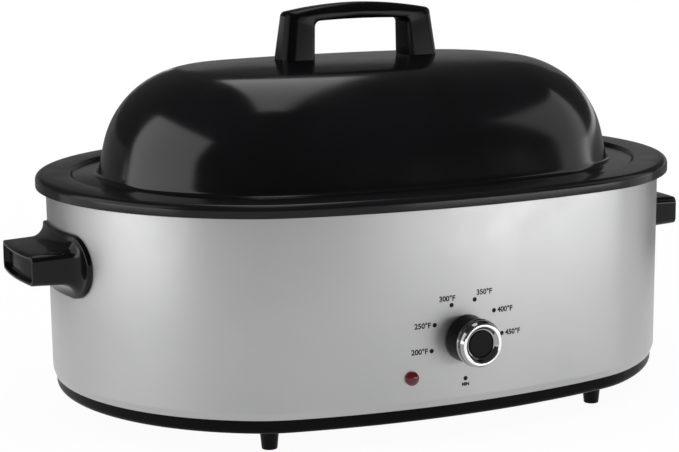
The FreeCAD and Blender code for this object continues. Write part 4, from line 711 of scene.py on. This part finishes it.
def flange_loops(half_w, half_h):
    """Loops from the flange's back edge over its face and its fillet to the grip's root."""
    wide, tall = FLANGE_WIDTH / 2, FLANGE_HEIGHT / 2
    loops = [handle_loop(wide, tall, FLANGE_CORNER, flange_skin(HANDLE_GAP)),
             handle_loop(wide, tall, FLANGE_CORNER, flange_skin(FLANGE_THICKNESS - FLANGE_EDGE))]
    for sine, cosine in quarter_turn(EDGE_STEPS):
        trim = FLANGE_EDGE * (1 - cosine)
        lift = FLANGE_THICKNESS - FLANGE_EDGE * (1 - sine)
        loops.append(handle_loop(wide - trim, tall - trim, FLANGE_CORNER - trim,
                                 flange_skin(lift)))
    edge = (wide - FLANGE_EDGE, tall - FLANGE_EDGE, FLANGE_CORNER - FLANGE_EDGE)
    root = (half_w + FLANGE_FILLET, half_h + FLANGE_FILLET, HANDLE_CORNER + FLANGE_FILLET)
    for step in range(1, FLANGE_STEPS + 1):
        size = [a + (b - a) * step / FLANGE_STEPS for a, b in zip(edge, root)]
        loops.append(handle_loop(*size, flange_skin(FLANGE_THICKNESS)))
    for sine, cosine in quarter_turn(FILLET_STEPS):
        grow = FLANGE_FILLET * (1 - sine)
        lift = FLANGE_THICKNESS + FLANGE_FILLET * (1 - cosine)
        loops.append(handle_loop(half_w + grow, half_h + grow, HANDLE_CORNER + grow,
                                 flange_skin(lift)))
    return loops


def grip_loops(half_w, half_h):
    """Loops along the tapered grip and round the edge of its bowed end."""
    root = flange_skin(FLANGE_THICKNESS + FLANGE_FILLET)
    loops = []
    for step in range(1, GRIP_STEPS + 1):
        share = step / GRIP_STEPS
        trim = HANDLE_TAPER * share
        loops.append(handle_loop(half_w - trim, half_h - trim, HANDLE_CORNER,
                                 part_way(root, grip_end(HANDLE_END_ROUND), share)))
    for sine, cosine in quarter_turn(EDGE_STEPS):
        trim = HANDLE_END_ROUND * (1 - cosine)
        inset = HANDLE_TAPER + trim
        loops.append(handle_loop(half_w - inset, half_h - inset, HANDLE_CORNER - trim,
                                 grip_end(HANDLE_END_ROUND * (1 - sine))))
    return loops


def recess_loops(end_w, end_h):
    """Loops over the lip of the dish in the grip's end, down its wall and over its floor."""
    floor_trim = RECESS_WALL + RECESS_TAPER + RECESS_LIP
    floor_corner = RECESS_CORNER - RECESS_TAPER
    loops = []
    for sine, cosine in quarter_turn(EDGE_STEPS, first=0):
        trim = RECESS_WALL - RECESS_LIP * (1 - sine)
        loops.append(handle_loop(end_w - trim, end_h - trim, RECESS_CORNER,
                                 grip_end(RECESS_LIP * (1 - cosine))))
    for sine, cosine in quarter_turn(RECESS_STEPS):
        trim = RECESS_WALL + RECESS_TAPER + RECESS_LIP * (1 - cosine)
        loops.append(handle_loop(end_w - trim, end_h - trim, floor_corner,
                                 grip_end(RECESS_DEPTH - RECESS_LIP * (1 - sine))))
    for share in RECESS_FLOOR_SHARES:
        loops.append(handle_loop((end_w - floor_trim) * share, (end_h - floor_trim) * share,
                                 floor_corner * share, grip_end(RECESS_DEPTH)))
    return loops


def make_side_handles():
    """Both grips, mirror images."""
    half_w, half_h = HANDLE_WIDTH / 2, HANDLE_THICKNESS / 2
    loops = flange_loops(half_w, half_h) + grip_loops(half_w, half_h)
    loops += recess_loops(half_w - HANDLE_TAPER, half_h - HANDLE_TAPER)
    for side, hand in ((1, "right"), (-1, "left")):
        rings = [[(side * x, y, z) for x, y, z in loop] for loop in loops]
        mesh = rings_mesh("grip_" + hand, rings, caps=("first", "last"))
        finish_piece("grip_" + hand, mesh, "base", handle_black,
                     ["side_handle_" + hand], sharp=40.0)


# -------- lid handle

ARCH_LENGTH = 0.1364
ARCH_TAPER = 0.0044
ARCH_WINDOW = 0.0840
ARCH_WINDOW_TAPER = 0.0015
ARCH_BAR = 0.0115
ARCH_RISE = 0.0056      # of the bar's crown
ARCH_CORNER = 0.0045
ARCH_WINDOW_CORNER = 0.0050
ARCH_FOOT_DEPTH = 0.0300
ARCH_BAR_DEPTH = 0.0240
ARCH_OUTER_ROUND = 0.0085
ARCH_INNER_ROUND = 0.0035
ARCH_ROUND_OF_BAR = 1.15        # most rounding, as a share of half the bar's height
ARCH_ROUND_OF_DEPTH = 0.8       # and of half its depth
ARCH_SILL_DROP = ARCH_RISE / 3
ARCH_SILL_RISE = 0.0008         # of the window's top edge towards the middle
ARCH_OUTER_STOP = 98.0          # where a corner's arc runs into the bar
ARCH_INNER_STOP = 92.0
ARCH_LEG_STEPS = 8
ARCH_CORNER_STEPS = 10
ARCH_BAR_STEPS = 14
ARCH_ROUND_STEPS = 8
ARCH_BASE = ARCH_LOW_CORNER.z
ARCH_TOP = ARCH_HIGH_CORNER.z


def arc_points(cx, cz, radius, first, last, steps):
    """Points on an arc in the XZ plane, between two angles in degrees."""
    turns = [math.radians(first + (last - first) * k / steps) for k in range(steps + 1)]
    return [(cx + radius * math.cos(turn), cz + radius * math.sin(turn)) for turn in turns]


def leg_points(foot_x, top):
    """Even points up one side of a leg, from the handle's base to short of its top point."""
    shares = [step / ARCH_LEG_STEPS for step in range(ARCH_LEG_STEPS)]
    return [(foot_x + (top[0] - foot_x) * share, ARCH_BASE + (top[1] - ARCH_BASE) * share)
            for share in shares]


def arch_sides():
    """Paired outer and inner points of the arch's left half, from its foot to the middle."""
    half, window = ARCH_LENGTH / 2, ARCH_WINDOW / 2
    shoulder = ARCH_TOP - ARCH_RISE
    sill = ARCH_TOP - ARCH_BAR - ARCH_SILL_DROP
    outer_arc = arc_points(ARCH_TAPER + ARCH_CORNER - half, shoulder - ARCH_CORNER, ARCH_CORNER,
                           180.0, ARCH_OUTER_STOP, ARCH_CORNER_STEPS)
    inner_arc = arc_points(ARCH_WINDOW_TAPER + ARCH_WINDOW_CORNER - window,
                           sill - ARCH_WINDOW_CORNER, ARCH_WINDOW_CORNER,
                           180.0, ARCH_INNER_STOP, ARCH_CORNER_STEPS)
    outer = leg_points(-half, outer_arc[0]) + outer_arc
    inner = leg_points(-window, inner_arc[0]) + inner_arc
    outer_x, outer_z = outer_arc[-1]
    inner_x, inner_z = inner_arc[-1]
    for step in range(1, ARCH_BAR_STEPS + 1):
        left = 1 - step / ARCH_BAR_STEPS
        outer.append((outer_x * left, ARCH_TOP - (ARCH_TOP - outer_z) * left ** 2))
        inner.append((inner_x * left, inner_z + ARCH_SILL_RISE * (1 - left ** 2)))
    return outer, inner


def arch_section(outer, inner, depth):
    """Loop round one section: broad rounding outside and a small one inside."""
    centre = Vector(((outer[0] + inner[0]) / 2, (outer[1] + inner[1]) / 2))
    axis = Vector(outer) - centre
    half = axis.length
    axis.normalize()
    deep = depth / 2
    big = min(ARCH_OUTER_ROUND, half * ARCH_ROUND_OF_BAR, deep * ARCH_ROUND_OF_DEPTH)
    small = min(ARCH_INNER_ROUND, 2 * half - big)
    corners = ((half - big, deep - big, big, 0), (small - half, deep - small, small, 90),
               (small - half, small - deep, small, 180), (half - big, big - deep, big, 270))
    flat = []
    for corner in corners:
        flat += arc_points(*corner[:3], corner[3], corner[3] + 90, ARCH_ROUND_STEPS)
    return [(centre.x + axis.x * s, CENTRE_Y + y, centre.y + axis.y * s) for s, y in flat]


def make_lid_handle():
    """Arched handle with rounded legs."""
    outer, inner = arch_sides()
    rings = []
    for (ox, oz), (ix, iz) in zip(outer, inner):
        share = (oz - ARCH_BASE) / (ARCH_TOP - ARCH_BASE)
        depth = ARCH_FOOT_DEPTH + (ARCH_BAR_DEPTH - ARCH_FOOT_DEPTH) * share
        rings.append(arch_section((ox, oz), (ix, iz), depth))
    mirror = [[(-x, y, z) for x, y, z in ring] for ring in rings[-2::-1]]
    mesh = rings_mesh("lid_arch", rings + mirror, caps=("first", "last"))
    finish_piece("lid_arch", mesh, "lid", arch_black, ["lid_handle"], sharp=40.0)


# -------- knob ring

RING_RADIUS = (RING_HIGH_CORNER.x - RING_LOW_CORNER.x) / 2
RING_WALL = 0.0012          # at the back edge
RING_BEAD = 0.0016          # round bead at the back and the groove before it
RING_BEAD_START = 0.4 * RING_BEAD
RING_BEAD_BEND = 0.0005
RING_GROOVE = 0.0006
RING_GROOVE_BEND = 0.0003
RING_SHOULDER_LEAN = 0.0005
RING_SHOULDER_DEPTH = 0.0032
RING_SHOULDER_BEND = 0.0026
RING_CREST = 0.0145         # radius of the foremost edge
RING_CREST_HALF = 0.0013
RING_CREST_DROP = 0.0006
RING_CREST_BEND = 0.0010
RING_CREST_FOOT_BEND = 0.0009
RING_MOUTH = 0.0104
RING_MOUTH_STEP = 0.0010
RING_MOUTH_EDGE = 0.0004
RING_MOUTH_DEPTH = 0.0012
RING_MOUTH_BEND = 0.0003
RING_SLOPE = 0.0030         # depth from the crest to the mouth
RING_SLOPE_BEND = 0.0016
# painted highlight: the crest's base colour is near white, so it reads as lit all round
CREST_HIGHLIGHT_COLOUR = (0.92, 0.92, 0.92)
CREST_HIGHLIGHT_HALF = 0.0011
TURNED_SIDES = 128


def turned_ring(name, profile, x, z):
    """Ring about an axis along Y through x and z; its closed profile holds (radius, y)."""
    rings = [[(x + radius * c, y, z + radius * s) for c, s in unit_circle(TURNED_SIDES)]
             for radius, y in profile]
    return rings_mesh(name, rings, looped=True)


def make_knob_ring():
    """Bright ring with a rounded shoulder, a crest with a painted highlight and a dished mouth."""
    front = RING_LOW_CORNER.y
    back = RING_HIGH_CORNER.y
    mouth = front + RING_SLOPE
    bead = back - RING_BEAD
    profile = rounded_path([
        (RING_RADIUS - RING_GROOVE, back, 0),
        (RING_RADIUS, back - RING_BEAD_START, RING_BEAD_BEND),
        (RING_RADIUS, bead, RING_BEAD_BEND),
        (RING_RADIUS - RING_GROOVE, bead - RING_GROOVE, RING_GROOVE_BEND),
        (RING_RADIUS - RING_SHOULDER_LEAN, front + RING_SHOULDER_DEPTH, RING_SHOULDER_BEND),
        (RING_CREST + RING_CREST_HALF, front + RING_CREST_DROP, RING_CREST_FOOT_BEND),
        (RING_CREST, front, RING_CREST_BEND),
        (RING_CREST - RING_CREST_HALF, front + RING_CREST_DROP, RING_CREST_FOOT_BEND),
        (RING_MOUTH + RING_MOUTH_STEP, mouth, RING_SLOPE_BEND),
        (RING_MOUTH, mouth + RING_MOUTH_EDGE, RING_MOUTH_BEND),
        (RING_MOUTH, mouth + RING_MOUTH_DEPTH, 0),
        (RING_RADIUS - RING_WALL, back, 0)])
    mesh = turned_ring("knob_bezel", [(p.x, p.y) for p in profile], 0.0, DIAL_LEVEL)
    # painted highlight on the ring's crest, in place of a glint from the lamps
    paint_crest_highlight(knob_chrome, (0.0, 0.0, DIAL_LEVEL), RING_CREST, CREST_HIGHLIGHT_HALF, CREST_HIGHLIGHT_COLOUR)
    finish_piece("knob_bezel", mesh, "knob", knob_chrome, ["knob_ring"], sharp=50.0)


# -------- dial print

DIAL_X = 0.0005
DIAL_Z = DIAL_LEVEL - 0.0009
DOT_CIRCLE = 0.0298
DOT_RADIUS = 0.0017
DOT_SIDES = 28
PRINT_THICKNESS = 0.00006
LETTER_SIZE = 0.0056
SMALL_LETTER_SIZE = 0.0034
LETTER_WEIGHT = 0.00018
FIRST_MARK_TURN = 191.8     # anticlockwise from +X
MARK_STEP_TURN = 37.95
MIN_MARK_TURN = FIRST_MARK_TURN + 2 * MARK_STEP_TURN
COOLEST, HOTTEST, HEAT_STEP = 200, 450, 50
LABEL_BESIDE = 0.0096       # from a dot to the middle of its label
LABEL_ABOVE = 0.0050
LABEL_BELOW = 0.0045
TOP_LABEL_SHIFT = 0.0043    # the two top labels stand apart
TOP_LABEL_SPREAD = 0.0181
SIDE_LABEL_LEAN = 0.6       # cosine of a turn: beyond it a label stands beside its dot
LETTER_STEPS = 4            # of a letter's curves


def laid_on_front(mesh, x, z):
    """Points and faces of a flat print, laid on the housing's front round (x, z)."""
    points = []
    for vertex in mesh.vertices:
        px, pz = x + vertex.co.x, z + vertex.co.y
        points.append((px, front_at(px, pz) - PRINT_THICKNESS / 2 - vertex.co.z, pz))
    faces = [tuple(face.vertices) for face in mesh.polygons]
    bpy.data.meshes.remove(mesh)
    return points, faces


def printed_letters(text, x, z, size):
    """Mesh points and faces of a short text laid on the housing's front."""
    curve = bpy.data.curves.new("label", "FONT")
    curve.body = text
    curve.size = size
    curve.align_x = "CENTER"
    curve.align_y = "CENTER"
    curve.extrude = PRINT_THICKNESS / 2
    curve.offset = LETTER_WEIGHT
    curve.resolution_u = LETTER_STEPS
    letters = bpy.data.objects.new("label", curve)
    bpy.context.scene.collection.objects.link(letters)
    mesh = plain_mesh(letters)
    bpy.data.objects.remove(letters)
    bpy.data.curves.remove(curve)
    return laid_on_front(mesh, x, z)


def printed_dots(tree, count, first_turn):
    """Mesh points and faces of a row of dots on the dial's circle."""
    mesh = grown_mesh("dial_dots", tree, bpy.data.meshes.new("dial_dots"), Count=count,
                      Circle_radius=DOT_CIRCLE, First_turn=math.radians(first_turn),
                      Step_turn=-math.radians(MARK_STEP_TURN), Dot_radius=DOT_RADIUS,
                      Thickness=PRINT_THICKNESS, Finish=print_black)
    return laid_on_front(mesh, DIAL_X, DIAL_Z)


def dial_marks():
    """Text, turn, offset of the text from its dot and letter size of each mark."""
    marks = [("MIN", MIN_MARK_TURN, 0.0, -LABEL_BELOW, SMALL_LETTER_SIZE)]
    for index, heat in enumerate(range(COOLEST, HOTTEST + 1, HEAT_STEP)):
        turn = FIRST_MARK_TURN - index * MARK_STEP_TURN
        lean = math.cos(math.radians(turn))
        if abs(lean) > SIDE_LABEL_LEAN:
            shift, rise = math.copysign(LABEL_BESIDE, lean), 0.0
        else:
            shift, rise = TOP_LABEL_SHIFT + TOP_LABEL_SPREAD * lean, LABEL_ABOVE
        marks.append((f"{heat}°F", turn, shift, rise, LETTER_SIZE))
    return marks


def make_dial_print():
    """Dots and temperatures round the knob."""
    marks = dial_marks()
    tree = dot_row_tree()
    prints = [printed_dots(tree, 1, MIN_MARK_TURN),
              printed_dots(tree, len(marks) - 1, FIRST_MARK_TURN)]
    for text, turn, shift, rise, size in marks:
        x = DIAL_X + DOT_CIRCLE * math.cos(math.radians(turn))
        z = DIAL_Z + DOT_CIRCLE * math.sin(math.radians(turn))
        prints.append(printed_letters(text, x + shift, z + rise, size))
    points, faces = [], []
    for new_points, new_faces in prints:
        base = len(points)
        points += new_points
        faces += [tuple(base + v for v in face) for face in new_faces]
    mesh = mesh_from("dial_print", points, faces)
    finish_piece("dial_print", mesh, "base", print_black)


# -------- stage, light and camera

CAMERA_AZIMUTH = -25.371
CAMERA_ELEVATION = 9.543
CAMERA_ROLL = -0.516
CAMERA_DISTANCE = 1.5639
CAMERA_TARGET_LEVEL = 0.150
PICTURE_WIDTH = 679         # pixels, like the lens's length and axis
PICTURE_HEIGHT = 452
FOCAL_PIXELS = 1911.9
AXIS_X = 357.44
AXIS_Y = 204.74
SENSOR = 36.0               # millimetres
VIEW_DEPTH = 60.0


def direction(azimuth, elevation):
    """Unit vector at an azimuth from the front and an elevation, in degrees."""
    az, el = math.radians(azimuth), math.radians(elevation)
    return Vector((math.sin(az) * math.cos(el), -math.cos(az) * math.cos(el), math.sin(el)))


def make_camera():
    """Camera at the product view."""
    roll = math.radians(CAMERA_ROLL)
    target = Vector((0, CENTRE_Y, CAMERA_TARGET_LEVEL))
    outward = direction(CAMERA_AZIMUTH, CAMERA_ELEVATION)
    right = (-outward).cross(Vector((0, 0, 1))).normalized()
    up = right.cross(-outward)
    tilted_right = right * math.cos(roll) + up * math.sin(roll)
    tilted_up = up * math.cos(roll) - right * math.sin(roll)
    turn = Matrix((tilted_right, tilted_up, outward)).transposed().to_4x4()
    data = bpy.data.cameras.new("camera")
    data.sensor_width = SENSOR
    data.lens = FOCAL_PIXELS / PICTURE_WIDTH * SENSOR
    data.shift_x = (PICTURE_WIDTH / 2 - AXIS_X) / PICTURE_WIDTH
    data.shift_y = (AXIS_Y - PICTURE_HEIGHT / 2) / PICTURE_WIDTH
    data.clip_end = VIEW_DEPTH
    camera = bpy.data.objects.new("camera", data)
    camera.matrix_world = Matrix.Translation(target + outward * CAMERA_DISTANCE) @ turn
    bpy.context.scene.collection.objects.link(camera)
    bpy.context.scene.camera = camera


LAMP_DISTANCE = 2.4
AIM_LEVEL = 0.15
LOW_AIM_LEVEL = 0.17
LAMPS = (
    # name, azimuth, elevation, width, height (degrees), radiance, level aimed at, seen in gloss
    ("lamp_left", -104, 23, 52, 37, 1.7, AIM_LEVEL, True),
    ("lamp_right", 78, 21, 42, 42, 0.8, AIM_LEVEL, True),
    ("lamp_low_left", -90, 1, 42, 10, 3.6, LOW_AIM_LEVEL, True),
    ("lamp_low_right", 38, 1, 46, 10, 4.8, LOW_AIM_LEVEL, True),
    ("lamp_top", 160, 71, 20, 58, 1.5, AIM_LEVEL, True),
    ("lamp_fill", 0, 80, 60, 60, 2.0, AIM_LEVEL, False),
)


def softbox(name, azimuth, elevation, width, height, radiance, aim_level, mirrored):
    """Rectangular lamp facing the object; width and height are the angles it fills."""
    outward = direction(azimuth, elevation)
    data = bpy.data.lights.new(name, "AREA")
    data.shape = "RECTANGLE"
    data.size = 2 * LAMP_DISTANCE * math.tan(math.radians(width / 2))
    data.size_y = 2 * LAMP_DISTANCE * math.tan(math.radians(height / 2))
    data.energy = radiance * math.pi * data.size * data.size_y
    lamp = bpy.data.objects.new(name, data)
    lamp.location = Vector((0, CENTRE_Y, aim_level)) + outward * LAMP_DISTANCE
    lamp.rotation_euler = (-outward).to_track_quat("-Z", "Y").to_euler()
    lamp.visible_camera = False
    lamp.visible_glossy = mirrored
    bpy.context.scene.collection.objects.link(lamp)


FLAG_RADIUS = 0.72
FLAG_SHEET = 0.004
FLAG_STEPS = 24
FLAGS = (
    # name, first and last azimuth (degrees), height
    ("flag_left", -185, -125, 0.30),
    ("flag_back", 125, 174, 0.45),
    ("flag_right", 88, 130, 0.22),
)


def studio_flag(name, first, last, height):
    """Grey curved card between two azimuths, seen only as a reflection."""
    outer = FLAG_RADIUS + FLAG_SHEET
    section = ((FLAG_RADIUS, 0.0), (outer, 0.0), (outer, height), (FLAG_RADIUS, height))
    rings = []
    for step in range(FLAG_STEPS + 1):
        azimuth = math.radians(first + (last - first) * step / FLAG_STEPS)
        rings.append([(radius * math.sin(azimuth), CENTRE_Y - radius * math.cos(azimuth), level)
                      for radius, level in section])
    mesh = rings_mesh(name, rings, caps=("first", "last"))
    mesh.materials.append(flag_grey)
    flag = bpy.data.objects.new(name, mesh)
    bpy.context.scene.collection.objects.link(flag)
    flag.visible_camera = False
    flag.visible_diffuse = False
    flag.visible_transmission = False
    flag.visible_shadow = False


FLOOR_RADIUS = 14.0
FLOOR_HUB = 0.4
FLOOR_SIDES = 120
FLOOR_PALE = (0.93, 0.93, 0.93, 1)
FLOOR_ROUGHNESS = 0.9
BACKDROP_HEIGHT = 1.3
BACKDROP_BEND = 1.0
BACKDROP_STEPS = 10
WHITE_NEAR = 0.96           # share of plain white in the floor beside the object
WHITE_START = 0.45
WHITE_END = 1.60
WORLD_FILL = 0.06
WHITE = (1, 1, 1, 1)


def floor_material():
    """Pale floor that keeps a shadow near the object and goes to plain white further off."""
    material, tree, shader = new_material("floor_white")
    set_inputs(shader, Base_Color=FLOOR_PALE, Roughness=FLOOR_ROUGHNESS, Specular_IOR_Level=0.0)
    place = add_node(tree, "ShaderNodeTexCoord").outputs["Object"]
    length = add_node(tree, "ShaderNodeVectorMath", {0: place}, operation="LENGTH")
    fade = add_node(tree, "ShaderNodeMapRange", {
        "Value": length.outputs["Value"], "From Min": WHITE_START, "From Max": WHITE_END,
        "To Min": WHITE_NEAR, "To Max": 1.0}, interpolation_type="SMOOTHSTEP")
    ray = add_node(tree, "ShaderNodeLightPath").outputs
    seen = maths(tree, "MAXIMUM", ray["Is Camera Ray"], ray["Is Glossy Ray"])
    seen = maths(tree, "MAXIMUM", seen, ray["Is Transmission Ray"])
    share = maths(tree, "MULTIPLY", seen, fade.outputs["Result"])
    glow = add_node(tree, "ShaderNodeEmission", {"Color": WHITE, "Strength": 1.0})
    mix = add_node(tree, "ShaderNodeMixShader", {
        0: share, 1: shader.outputs["BSDF"], 2: glow.outputs["Emission"]})
    tree.links.new(mix.outputs["Shader"], tree.nodes["Material Output"].inputs["Surface"])
    return material


def make_floor():
    """Round floor that bends up into a low backdrop."""
    flat = FLOOR_RADIUS - BACKDROP_BEND
    profile = [(FLOOR_HUB, 0.0), (flat, 0.0)]
    profile += [(flat + BACKDROP_BEND * sine, BACKDROP_BEND * (1 - cosine))
                for sine, cosine in quarter_turn(BACKDROP_STEPS)]
    profile.append((FLOOR_RADIUS, BACKDROP_HEIGHT))
    rings = [[(radius * c, radius * s, level) for c, s in unit_circle(FLOOR_SIDES)]
             for radius, level in profile]
    mesh = rings_mesh("floor", rings, caps=("first",))
    if mesh.polygons[-1].normal.z < 0:
        mesh.flip_normals()
    floor = bpy.data.objects.new("floor", mesh)
    bpy.context.scene.collection.objects.link(floor)
    mesh.materials.append(floor_material())
    for face in mesh.polygons:
        face.use_smooth = True


def make_stage():
    """Floor, faint even light, soft lamps and flags round the object."""
    make_floor()
    world = bpy.data.worlds.new("studio")
    world.use_nodes = True
    fill = world.node_tree.nodes["Background"]
    fill.inputs["Color"].default_value = WHITE
    fill.inputs["Strength"].default_value = WORLD_FILL
    bpy.context.scene.world = world
    for lamp in LAMPS:
        softbox(*lamp)
    for flag in FLAGS:
        studio_flag(*flag)


bpy.context.scene.view_settings.view_transform = "Standard"
make_camera()
make_stage()
dress_frame()
make_housing()
make_cookwell()
make_lid()
make_side_handles()
make_lid_handle()
make_knob_ring()
make_dial_print()
